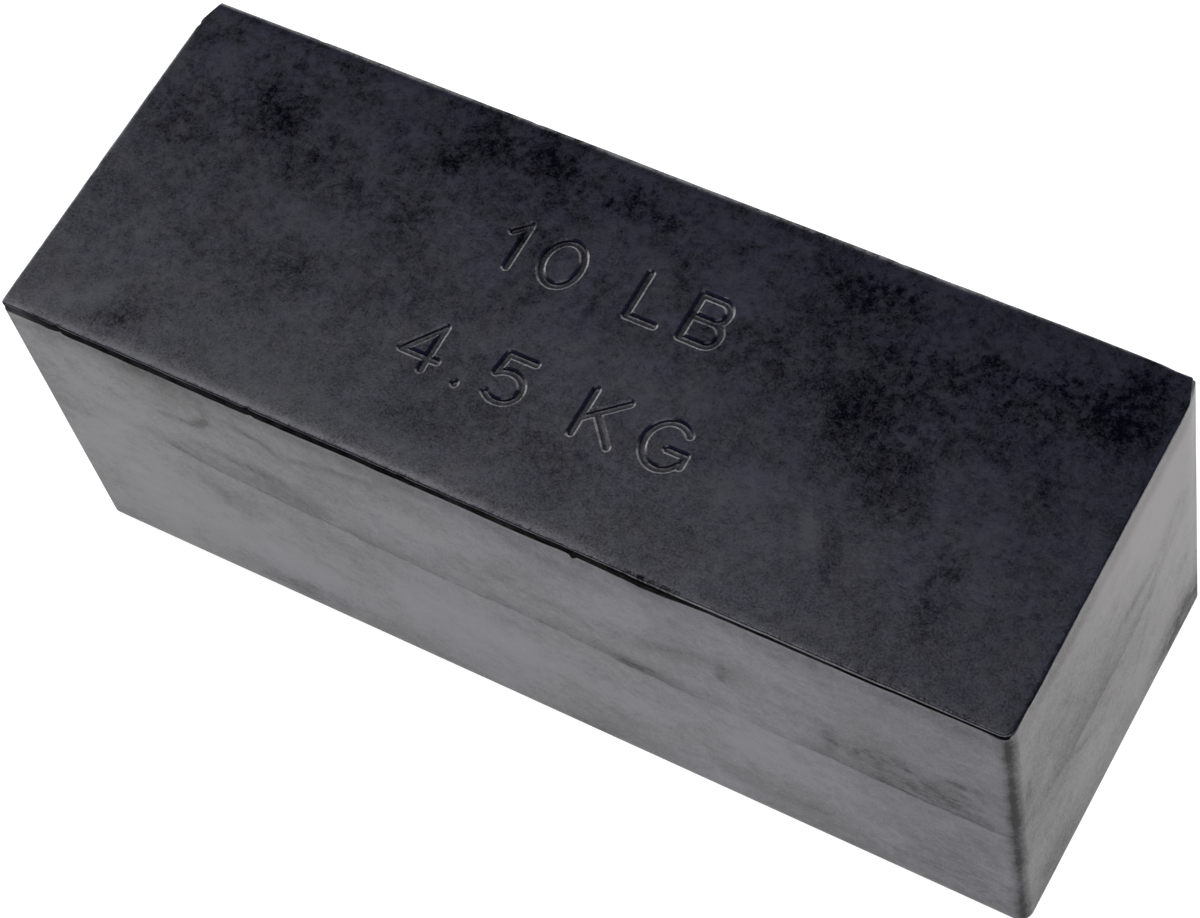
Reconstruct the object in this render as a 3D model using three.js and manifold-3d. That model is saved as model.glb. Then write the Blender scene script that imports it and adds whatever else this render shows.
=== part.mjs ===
// A diving brick: a steel bar closed in by two rubber jackets that meet at half its height.
// Millimetres, +Z up, +X along the length. The origin is the middle of the base.

import * as THREE from "three";
import { mergeVertices } from "three/addons/utils/BufferGeometryUtils.js";
import { ConvexGeometry } from "three/addons/geometries/ConvexGeometry.js";
import Module from "manifold-3d";

const wasm = await Module();
wasm.setup();

// Sizes of the brick, over the trimmed rim round its top edge
const brickLength = 229;
const brickWidth = 83.5;
const brickHeight = 90;

// Rubber between the outside and the pocket for the core
const endWall = 21.85;
const sideWall = 18.6;
const floorWall = 22.5;
const roofWall = 22.2;

// Rounding of the rubber's edges: the front right upright edge, the other three and the lower ones
const frontRightEdgeRadius = 2.8;
const uprightEdgeRadius = 0.6;
const baseEdgeRadius = 0.9;

// The steel bar
const coreEdgeRadius = 1.5;
const coreClearance = 0.3;

// The rim that trimming leaves where the mould opened, and its deeper stretch on the front
const rimProud = 0.35;
const rimHeight = 0.8;
const rimLeftDepth = 3.2;
const rimMiddleDepth = 2.7;
const rimRunout = 48;

// The slanting knife cut at the back left corner
const knifeCutAlongEnd = 5.4;
const knifeCutAlongSide = 1.6;
const knifeCutDepth = 9;

// The weight marks in the top face
const markHeight = 12.6;
const markGap = 3.8;
const rowPitch = 28.1;
const grooveWidth = 2;
const grooveDepth = 0.8;

// How far a cutting shape runs past the face it cuts
const overrun = 1;

// Steps in each quarter turn of an upright edge, a lower edge, a bar edge and a groove's end
const uprightSteps = 6;
const baseSteps = 4;
const coreSteps = 3;
const grooveEndSteps = 3;
const bowlSteps = 5;

// Sizes worked out from those above
const wallLength = brickLength - 2 * rimProud;
const wallWidth = brickWidth - 2 * rimProud;
const pocketLength = wallLength - 2 * endWall;
const pocketWidth = wallWidth - 2 * sideWall;
const coreLength = pocketLength - 2 * coreClearance;
const coreWidth = pocketWidth - 2 * coreClearance;
const coreHeight = brickHeight - floorWall - roofWall - coreClearance;
const jointHeight = floorWall + coreHeight / 2;

const quarterTurn = Math.PI / 2;

// The marks. Each has its width, as a share of its height, and its strokes. A stroke is a line between two
// points or a bowl round a centre with two radii, all as shares of the mark's width and height. A bowl runs
// between two counts of quarter turns, counted from its right side.
const markShares = {
  1: {
    width: 0.42,
    strokes: [
      { line: [0, 0.76, 0.9, 1] },
      { line: [0.9, 1, 0.9, 0] },
    ],
  },
  0: {
    width: 0.82,
    strokes: [
      { bowl: [0.5, 0.5, 0.5, 0.5], from: 0, to: 4 },
    ],
  },
  4: {
    width: 0.82,
    strokes: [
      { line: [0.74, 0, 0.74, 1] },
      { line: [0.74, 1, 0, 0.27] },
      { line: [0, 0.27, 1, 0.27] },
    ],
  },
  5: {
    width: 0.76,
    strokes: [
      { line: [0.94, 1, 0.14, 1] },
      { line: [0.14, 1, 0.07, 0.55] },
      { bowl: [0.46, 0.33, 0.52, 0.33], from: 1.5, to: -1.5 },
    ],
  },
  L: {
    width: 0.66,
    strokes: [
      { line: [0, 1, 0, 0] },
      { line: [0, 0, 1, 0] },
    ],
  },
  B: {
    width: 0.76,
    strokes: [
      { line: [0, 0, 0, 1] },
      { line: [0, 1, 0.6, 1] },
      { bowl: [0.6, 0.76, 0.32, 0.24], from: 1, to: -1 },
      { line: [0, 0.52, 0.66, 0.52] },
      { bowl: [0.66, 0.26, 0.34, 0.26], from: 1, to: -1 },
      { line: [0, 0, 0.66, 0] },
    ],
  },
  K: {
    width: 0.8,
    strokes: [
      { line: [0, 0, 0, 1] },
      { line: [0, 0.36, 0.95, 1] },
      { line: [0.32, 0.58, 1, 0] },
    ],
  },
  G: {
    width: 0.9,
    strokes: [
      { bowl: [0.5, 0.5, 0.5, 0.5], from: 0.5, to: 3.65 },
      { line: [0.56, 0.44, 1, 0.44] },
      { line: [1, 0.44, 1, 0.2] },
    ],
  },
  ".": {
    width: 0.16,
    strokes: [
      { line: [0, 0, 0, 0.02] },
    ],
  },
  " ": {
    width: 0.3,
    strokes: [],
  },
};
const markRows = [
  { text: "10 LB", place: rowPitch / 2 },
  { text: "4.5 KG", place: -rowPitch / 2 },
];

// Turns a closed three.js geometry into a solid that can be joined and cut.
function solidOf(geometry) {
  const bare = geometry.clone();
  bare.deleteAttribute("normal");
  bare.deleteAttribute("uv");
  const merged = mergeVertices(bare);
  const mesh = new wasm.Mesh({
    numProp: 3,
    vertProperties: Float32Array.from(merged.attributes.position.array),
    triVerts: Uint32Array.from(merged.index.array),
  });
  return new wasm.Manifold(mesh);
}

// Turns a solid back into a three.js geometry.
function geometryOf(solid) {
  const mesh = solid.getMesh();
  const geometry = new THREE.BufferGeometry();
  geometry.setAttribute("position", new THREE.BufferAttribute(mesh.vertProperties, 3));
  geometry.setIndex(new THREE.BufferAttribute(mesh.triVerts, 1));
  geometry.computeVertexNormals();
  return geometry;
}

function makeMesh(name, geometry, material) {
  const mesh = new THREE.Mesh(geometry, material);
  mesh.name = name;
  return mesh;
}

function rubber() {
  return new THREE.MeshStandardMaterial({ color: 0x343438, roughness: 0.55, metalness: 0 });
}

function steel() {
  return new THREE.MeshStandardMaterial({ color: 0x777a7d, roughness: 0.4, metalness: 0.9 });
}

// A rectangle with round corners, centred on the origin. Its front right corner can have a radius of its own.
function roundedRectangle(length, width, radius, frontRightRadius = radius) {
  const x = length / 2 - radius;
  const y = width / 2 - radius;
  const frontRightX = length / 2 - frontRightRadius;
  const frontRightY = frontRightRadius - width / 2;
  const shape = new THREE.Shape();
  shape.absarc(frontRightX, frontRightY, frontRightRadius, -quarterTurn, 0);
  shape.absarc(x, y, radius, 0, quarterTurn);
  shape.absarc(-x, y, radius, quarterTurn, 2 * quarterTurn);
  shape.absarc(-x, -y, radius, 2 * quarterTurn, 3 * quarterTurn);
  shape.closePath();
  return shape;
}

// An upright section through the rubber: square above and rounded at both lower corners.
function wallSection(length) {
  const x = length / 2 - baseEdgeRadius;
  const shape = new THREE.Shape();
  shape.absarc(-x, baseEdgeRadius, baseEdgeRadius, 2 * quarterTurn, 3 * quarterTurn);
  shape.absarc(x, baseEdgeRadius, baseEdgeRadius, -quarterTurn, 0);
  shape.lineTo(length / 2, brickHeight);
  shape.lineTo(-length / 2, brickHeight);
  shape.closePath();
  return shape;
}

function extrude(shape, depth, curveSegments) {
  return new THREE.ExtrudeGeometry(shape, { depth, curveSegments, bevelEnabled: false });
}

// An upright block between two heights.
function block(length, width, low, high) {
  const geometry = new THREE.BoxGeometry(length, width, high - low);
  geometry.translate(0, 0, (low + high) / 2);
  return solidOf(geometry);
}

// The rubber's walls without their pocket: the plan and both upright sections in common.
function wallBody() {
  const plan = roundedRectangle(wallLength, wallWidth, uprightEdgeRadius, frontRightEdgeRadius);
  const upright = extrude(plan, brickHeight, uprightSteps);
  const across = extrude(wallSection(wallLength), wallWidth, baseSteps);
  across.rotateX(quarterTurn);
  across.translate(0, wallWidth / 2, 0);
  const along = extrude(wallSection(wallWidth), wallLength, baseSteps);
  along.rotateX(quarterTurn);
  along.rotateZ(quarterTurn);
  along.translate(-wallLength / 2, 0, 0);
  return solidOf(upright).intersect(solidOf(across)).intersect(solidOf(along));
}

// The proud rim round the top edge.
function trimmedRim() {
  const rimRadius = uprightEdgeRadius + rimProud;
  const plan = roundedRectangle(brickLength, brickWidth, rimRadius, frontRightEdgeRadius + rimProud);
  const geometry = extrude(plan, rimHeight, uprightSteps);
  geometry.translate(0, 0, brickHeight - rimHeight);
  return solidOf(geometry);
}

// The rim's deeper stretch on the front: deepest at the left end, then running out towards the right.
function frontRim() {
  const left = -brickLength / 2 + uprightEdgeRadius + rimProud;
  const outline = new THREE.Shape();
  outline.moveTo(left, brickHeight - rimHeight);
  outline.lineTo(left, brickHeight - rimLeftDepth);
  outline.lineTo(0, brickHeight - rimMiddleDepth);
  outline.lineTo(rimRunout, brickHeight - rimHeight);
  outline.closePath();
  const depth = rimProud + uprightEdgeRadius;
  const geometry = extrude(outline, depth, 1);
  geometry.rotateX(quarterTurn);
  geometry.translate(0, depth - brickWidth / 2, 0);
  return solidOf(geometry);
}

// What the knife took off the back left corner. Its slanting face meets the corner's three edges where the
// three knife sizes say, and its other faces lie outside the brick by the overrun.
function knifeCut() {
  const x = -brickLength / 2 - overrun;
  const y = brickWidth / 2 + overrun;
  const z = brickHeight + overrun;
  const reach = overrun / knifeCutAlongEnd + overrun / knifeCutAlongSide + overrun / knifeCutDepth + 1;
  const corners = [
    new THREE.Vector3(x, y, z),
    new THREE.Vector3(x + reach * knifeCutAlongSide, y, z),
    new THREE.Vector3(x, y - reach * knifeCutAlongEnd, z),
    new THREE.Vector3(x, y, z - reach * knifeCutDepth),
  ];
  return solidOf(new ConvexGeometry(corners));
}

// The middle line of a stroke, from the lower left end of the mark's own middle lines.
function strokeLine(stroke, width) {
  const height = markHeight - grooveWidth;
  if (stroke.line) {
    const [x0, y0, x1, y1] = stroke.line;
    return [
      new THREE.Vector2(x0 * width, y0 * height),
      new THREE.Vector2(x1 * width, y1 * height),
    ];
  }
  const [x, y, radiusX, radiusY] = stroke.bowl;
  const turns = stroke.to - stroke.from;
  const steps = Math.ceil(Math.abs(turns) * bowlSteps);
  const points = [];
  for (let i = 0; i <= steps; i += 1) {
    const angle = (stroke.from + (turns * i) / steps) * quarterTurn;
    const across = (x + radiusX * Math.cos(angle)) * width;
    const up = (y + radiusY * Math.sin(angle)) * height;
    points.push(new THREE.Vector2(across, up));
  }
  return points;
}

// The outline of a groove of even width along a line of points, with round ends.
function grooveOutline(points) {
  const last = points.length - 1;
  const headings = points.map((point, i) => {
    const before = points[Math.max(i - 1, 0)];
    const after = points[Math.min(i + 1, last)];
    return Math.atan2(after.y - before.y, after.x - before.x);
  });
  const offset = (i, angle) => new THREE.Vector2(
    points[i].x + (grooveWidth / 2) * Math.cos(headings[i] + angle),
    points[i].y + (grooveWidth / 2) * Math.sin(headings[i] + angle),
  );
  const outline = [];
  for (let i = 0; i < last; i += 1) {
    outline.push(offset(i, -quarterTurn));
  }
  for (let k = 0; k <= 2 * grooveEndSteps; k += 1) {
    outline.push(offset(last, -quarterTurn + (k / grooveEndSteps) * quarterTurn));
  }
  for (let i = last - 1; i > 0; i -= 1) {
    outline.push(offset(i, quarterTurn));
  }
  for (let k = 0; k < 2 * grooveEndSteps; k += 1) {
    outline.push(offset(0, quarterTurn + (k / grooveEndSteps) * quarterTurn));
  }
  return new THREE.Shape(outline);
}

// The solid that cuts one groove into the top face.
function groove(points) {
  const geometry = extrude(grooveOutline(points), grooveDepth + overrun, 1);
  geometry.translate(0, 0, brickHeight - grooveDepth);
  return solidOf(geometry);
}

// All the grooves of one row of marks, centred on the brick's length.
function markRow(row) {
  const marks = [...row.text].map((letter) => markShares[letter]);
  const widths = marks.map((mark) => mark.width * markHeight);
  const rowLength = widths.reduce((sum, width) => sum + width + markGap, -markGap);
  const start = new THREE.Vector2(-rowLength / 2, row.place - markHeight / 2).addScalar(grooveWidth / 2);
  const grooves = [];
  marks.forEach((mark, i) => {
    for (const stroke of mark.strokes) {
      const line = strokeLine(stroke, widths[i] - grooveWidth);
      grooves.push(groove(line.map((point) => point.add(start))));
    }
    start.x += widths[i] + markGap;
  });
  return grooves.reduce((sum, cut) => sum.add(cut));
}

// The hollow in both jackets that the core lies in.
function pocket() {
  return block(pocketLength, pocketWidth, floorWall, brickHeight - roofWall);
}

function lowerJacket() {
  const above = block(brickLength + overrun, brickWidth + overrun, jointHeight, 2 * brickHeight);
  const body = wallBody().subtract(above).subtract(pocket());
  return makeMesh("lower_jacket", geometryOf(body), rubber());
}

function upperJacket() {
  const below = block(brickLength + overrun, brickWidth + overrun, -overrun, jointHeight);
  let body = wallBody().subtract(below).subtract(pocket());
  body = body.add(trimmedRim()).add(frontRim()).subtract(knifeCut());
  for (const row of markRows) {
    body = body.subtract(markRow(row));
  }
  return makeMesh("upper_jacket", geometryOf(body), rubber());
}

// A length of square bar with rolled edges, lying on the floor of the pocket.
function steelCore() {
  const section = roundedRectangle(coreWidth, coreHeight, coreEdgeRadius);
  const geometry = extrude(section, coreLength, coreSteps);
  geometry.translate(0, 0, -coreLength / 2);
  geometry.rotateX(quarterTurn);
  geometry.rotateZ(quarterTurn);
  geometry.translate(0, 0, floorWall + coreHeight / 2);
  return makeMesh("steel_core", geometry, steel());
}

const divingBrick = new THREE.Group();
divingBrick.add(lowerJacket());
divingBrick.add(upperJacket());
divingBrick.add(steelCore());

export default divingBrick;
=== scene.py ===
"""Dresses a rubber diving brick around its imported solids.

Metres, +Z up, +X along the length, the origin in the middle of the base. Tables of places and names that end
in mm are in millimetres.
"""

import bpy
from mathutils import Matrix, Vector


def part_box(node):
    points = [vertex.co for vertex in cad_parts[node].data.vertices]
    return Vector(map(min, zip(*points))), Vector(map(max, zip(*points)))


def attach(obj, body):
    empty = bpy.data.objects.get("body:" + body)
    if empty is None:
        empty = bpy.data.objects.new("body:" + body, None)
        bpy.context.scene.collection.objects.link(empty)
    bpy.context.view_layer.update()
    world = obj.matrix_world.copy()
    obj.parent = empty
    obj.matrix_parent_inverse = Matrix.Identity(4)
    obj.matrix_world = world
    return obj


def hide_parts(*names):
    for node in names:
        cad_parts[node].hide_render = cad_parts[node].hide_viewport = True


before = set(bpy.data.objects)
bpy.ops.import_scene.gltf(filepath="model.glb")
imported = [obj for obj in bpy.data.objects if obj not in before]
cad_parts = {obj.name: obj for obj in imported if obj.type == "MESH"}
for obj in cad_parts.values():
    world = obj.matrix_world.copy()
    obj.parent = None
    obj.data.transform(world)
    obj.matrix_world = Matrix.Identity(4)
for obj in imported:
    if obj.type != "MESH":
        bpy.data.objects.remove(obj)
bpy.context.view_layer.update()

import logging
import math
from abc import ABC, abstractmethod
from dataclasses import dataclass, field
from enum import Enum
from typing import Any, Iterable, Sequence

import bmesh
import bpy
import numpy as np
from mathutils import Matrix, Vector
from mathutils.geometry import delaunay_2d_cdt

MM = 0.001
BODY = "root"
CORE_CLEARANCE = 0.3 * MM
Colour = tuple[float, float, float, float]
Socket = bpy.types.NodeSocket
log = logging.getLogger("diving_brick")


class Side(Enum):
    """The four upright sides, in the order in which the outline is walked."""

    FRONT = 0
    RIGHT = 1
    BACK = 2
    LEFT = 3


class Zone(Enum):
    """What a face of a jacket was left by: the press, the mould's walls, the knife or the core."""

    PRESSED = 0
    MOULDED = 1
    TRIMMED = 2
    HIDDEN = 3


@dataclass(frozen=True)
class Span:
    """A range of values and what its two ends become. A soft one starts and ends gently."""

    low: float
    high: float
    to_low: float = 0.0
    to_high: float = 1.0
    soft: bool = False


@dataclass(frozen=True)
class Cloud:
    """One of a finish's noises: its number, its clouds' size, its finer layers and how far it is bent."""

    number: int
    size: float
    layers: float = 3.0
    roughness: float = 0.6
    bend: float = 0.0


class Wiring:
    """Adds nodes to one tree and joins them."""

    def __init__(self, tree: bpy.types.NodeTree) -> None:
        """Keeps the tree that the nodes go into."""
        self.tree = tree

    def node(self, kind: str, inputs: dict[Any, Any] | None = None, **settings: Any) -> bpy.types.Node:
        """Adds one node.

        Args:
            kind: The node's type.
            inputs: Values or output sockets for its inputs, by name or number.
            settings: Properties of the node.

        Returns:
            The node.
        """
        made = self.tree.nodes.new(kind)
        for name, value in settings.items():
            setattr(made, name, value)
        for key, value in (inputs or {}).items():
            self.feed(made.inputs[key], value)
        return made

    def feed(self, socket: Socket, value: Any) -> None:
        """Joins an output socket to an input, or sets the input's value."""
        if isinstance(value, Socket):
            self.tree.links.new(value, socket)
        else:
            socket.default_value = value

    def math(self, operation: str, *values: Any, clamp: bool = False) -> Socket:
        """Adds a Math node and returns its output."""
        inputs = dict(enumerate(values))
        return self.node("ShaderNodeMath", inputs, operation=operation, use_clamp=clamp).outputs[0]

    def times(self, first: Any, second: Any) -> Socket:
        """Multiplies two values."""
        return self.math("MULTIPLY", first, second)

    def minus(self, first: Any, second: Any, clamp: bool = False) -> Socket:
        """Takes the second value from the first."""
        return self.math("SUBTRACT", first, second, clamp=clamp)

    def size_of(self, value: Any) -> Socket:
        """Drops a value's sign."""
        return self.math("ABSOLUTE", value)

    def total(self, *terms: Any) -> Socket:
        """Adds up any number of values."""
        value = terms[0]
        for term in terms[1:]:
            value = self.math("ADD", value, term)
        return value

    def axes(self, vector: Any) -> Sequence[Socket]:
        """Splits a vector into its three parts."""
        return self.node("ShaderNodeSeparateXYZ", {0: vector}).outputs

    def vector(self, x: Any = 0.0, y: Any = 0.0, z: Any = 0.0) -> Socket:
        """Makes a vector of three parts."""
        return self.node("ShaderNodeCombineXYZ", {0: x, 1: y, 2: z}).outputs[0]

    def drawn(self, vector: Any, shares: tuple[float, float, float]) -> Socket:
        """Multiplies each part of a vector by its own share."""
        return self.node("ShaderNodeVectorMath", {0: vector, 1: shares}, operation="MULTIPLY").outputs[0]

    def scaled(self, vector: Any, amount: Any) -> Socket:
        """Multiplies a vector by one value."""
        return self.node("ShaderNodeVectorMath", {0: vector, "Scale": amount}, operation="SCALE").outputs[0]

    def span(self, value: Any, span: Span) -> Socket:
        """Maps one range of values onto another and holds it there."""
        kind = "SMOOTHSTEP" if span.soft else "LINEAR"
        inputs = {0: value, 1: span.low, 2: span.high, 3: span.to_low, 4: span.to_high}
        return self.node("ShaderNodeMapRange", inputs, interpolation_type=kind).outputs[0]

    def curve(self, value: Any, points: Sequence[tuple[float, float]]) -> Socket:
        """Runs a value between 0 and 1 through a curve.

        Args:
            value: Where on the curve.
            points: The curve's points, from its start to its end.

        Returns:
            The curve's height there.
        """
        made = self.node("ShaderNodeFloatCurve", {1: value})
        knots = made.mapping.curves[0].points
        while len(knots) < len(points):
            knots.new(0.5, 0.5)
        for knot, place in zip(knots, points):
            knot.location = place
            knot.handle_type = "AUTO_CLAMPED"
        made.mapping.update()
        return made.outputs[0]

    def noises(self, place: Any, seed: float, *clouds: Cloud) -> list[Socket]:
        """Adds seeded noises, each of them about 0.5.

        Args:
            place: Where they are read.
            seed: The finish's seed, which each noise's number is added to.
            clouds: What each is like.

        Returns:
            The noises, in the order of their clouds.
        """
        made = []
        for cloud in clouds:
            inputs = {
                "Vector": place, "W": seed + cloud.number, "Scale": 1 / cloud.size, "Detail": cloud.layers,
                "Roughness": cloud.roughness, "Distortion": cloud.bend,
            }
            made.append(self.node("ShaderNodeTexNoise", inputs, noise_dimensions="4D").outputs[0])
        return made

    def blend(self, share: Any, first: Any, second: Any, kind: str = "RGBA") -> Socket:
        """Mixes two colours, or two vectors."""
        made = self.node("ShaderNodeMix", data_type=kind)
        for key, value in {"Factor": share, "A": first, "B": second}.items():
            found = [socket for socket in made.inputs if socket.name == key and socket.enabled]
            self.feed(found[0], value)
        return [socket for socket in made.outputs if socket.enabled][0]


class SurfaceWiring(Wiring):
    """Adds the nodes of a material."""

    def place(self) -> Socket:
        """Reads the place on the piece, in its own coordinates."""
        return self.node("ShaderNodeTexCoord").outputs["Object"]

    def attribute(self, name: str) -> Socket:
        """Reads a piece's own number."""
        return self.node("ShaderNodeAttribute", attribute_name=name).outputs["Fac"]

    def bump(self, strength: float, depth: float, relief: Any) -> Socket:
        """Turns the surface's way out by a relief."""
        inputs = {"Strength": strength, "Distance": depth, "Height": relief}
        return self.node("ShaderNodeBump", inputs).outputs[0]


def gray(level: float, red: float = 1.0, blue: float = 1.0) -> Colour:
    """Returns a colour of one level, warmer or cooler by its red and blue shares."""
    return (level * red, level, level * blue, 1.0)


@dataclass(frozen=True)
class Finish(ABC):
    """A surface finish that can make its material."""

    name: str

    def material(self) -> bpy.types.Material:
        """Makes the finish's material.

        Returns:
            A material whose nodes the finish has wired.
        """
        made = bpy.data.materials.new(self.name)
        made.use_nodes = True
        made.node_tree.nodes.clear()
        wiring = SurfaceWiring(made.node_tree)
        shader = wiring.node("ShaderNodeBsdfPrincipled", self.wire(wiring))
        wiring.node("ShaderNodeOutputMaterial", {"Surface": shader.outputs[0]})
        return made

    @abstractmethod
    def wire(self, wiring: SurfaceWiring) -> dict[str, Any]:
        """Returns what the shader's inputs get, by name."""


@dataclass(frozen=True)
class PressedRubber(Finish):
    """The black top face: cloudy, blue in some patches and dull in others, with a fine grain, and painted
    shade that darkens it towards the back.

    A field that ends in shade says how much lighter or darker something makes the face. One that starts with
    blots_in or specks_in says how a noise breaks up the listed patches.
    """

    name: str = "pressed_rubber"
    dark: Colour = gray(0.0007, 1.0, 4.5)
    light: Colour = gray(0.0058, 0.95, 3.6)
    dull_dark: Colour = gray(0.0008, 1.0, 3.4)
    dull_light: Colour = gray(0.0063, 1.0, 2.7)
    seed: float = 3.1
    clouds: Cloud = Cloud(0, 34 * MM, 3, 0.55, 0.5)
    patches: Cloud = Cloud(1, 11 * MM, 3, 0.6, 0.4)
    specks: Cloud = Cloud(2, 1.6 * MM, 3, 0.7)
    grain: Cloud = Cloud(3, 0.5 * MM, 2, 0.75)
    blots: Cloud = Cloud(4, 4.5 * MM, 3, 0.6, 0.3)
    tints: Cloud = Cloud(5, 7 * MM, 4, 0.6, 0.5)
    cloud_shade: Span = Span(0.3, 0.7, -0.22, 0.22)
    patch_shade: Span = Span(0.3, 0.7, -0.22, 0.22)
    blot_shade: Span = Span(0.3, 0.7, 0.09, -0.16)
    speck_shade: Span = Span(0.3, 0.7, -0.24, 0.24)
    fine_shade: Span = Span(0.3, 0.7, -0.1, 0.1)
    grain_shade: Span = Span(0.2, 0.8, -0.54, 0.54)
    cloudiness_to_back: Span = Span(-38 * MM, 38 * MM, 0.4, 1.35)
    # Painted shade: the face's colour grows darker towards its back.
    painted_shade_to_back: Span = Span(-17 * MM, 8 * MM, 0.6, 0.49)
    blots_in_stain_and_painted_light: Span = Span(0.34, 0.66, 1.15, 0.1)
    specks_in_stain_and_painted_light: Span = Span(0.62, 0.34, -0.05, 0.7)
    # The patches hold stains, and in places painted light and shade.
    stain_and_painted_light_shade: float = -0.54
    tint: Span = Span(0.4, 0.6)
    level: Span = Span(-0.3, 1.2, soft=True)
    specular: Span = Span(0.0, 1.0, 0.02, 0.84)
    roughness: Span = Span(0.0, 1.0, 0.24, 0.17)
    grain_relief: float = 0.35
    bump_strength: float = 0.35
    bump_depth: float = 0.05 * MM

    def wire(self, wiring: SurfaceWiring) -> dict[str, Any]:
        """Mixes clouds of four sizes, a grain, the listed patches and a painted shade towards the back into
        colour, gloss and bump.
        """
        place = wiring.place()
        clouds, patches, specks, grain, blots, tints = wiring.noises(
            place, self.seed, self.clouds, self.patches, self.specks, self.grain, self.blots, self.tints)
        stain = wiring.times(wiring.attribute("stain"), wiring.total(
            wiring.span(blots, self.blots_in_stain_and_painted_light), wiring.span(specks, self.specks_in_stain_and_painted_light)))
        back = wiring.axes(place)["Y"]
        cloudy = wiring.total(
            wiring.span(clouds, self.cloud_shade),
            wiring.span(patches, self.patch_shade),
            wiring.span(blots, self.blot_shade),
            wiring.span(specks, self.speck_shade),
        )
        level = wiring.total(
            wiring.times(cloudy, wiring.span(back, self.cloudiness_to_back)),
            wiring.span(grain, self.grain_shade),
            wiring.span(specks, self.fine_shade),
            wiring.times(stain, self.stain_and_painted_light_shade),
            # Painted shade towards the back.
            wiring.span(back, self.painted_shade_to_back),
        )
        share = wiring.span(level, self.level)
        blue = wiring.blend(share, self.dark, self.light)
        dull = wiring.blend(share, self.dull_dark, self.dull_light)
        relief = wiring.total(wiring.times(grain, self.grain_relief), specks)
        return {
            "Base Color": wiring.blend(wiring.span(tints, self.tint), dull, blue),
            "Specular IOR Level": wiring.span(share, self.specular),
            "Roughness": wiring.span(share, self.roughness),
            "Normal": wiring.bump(self.bump_strength, self.bump_depth, relief),
        }


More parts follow.
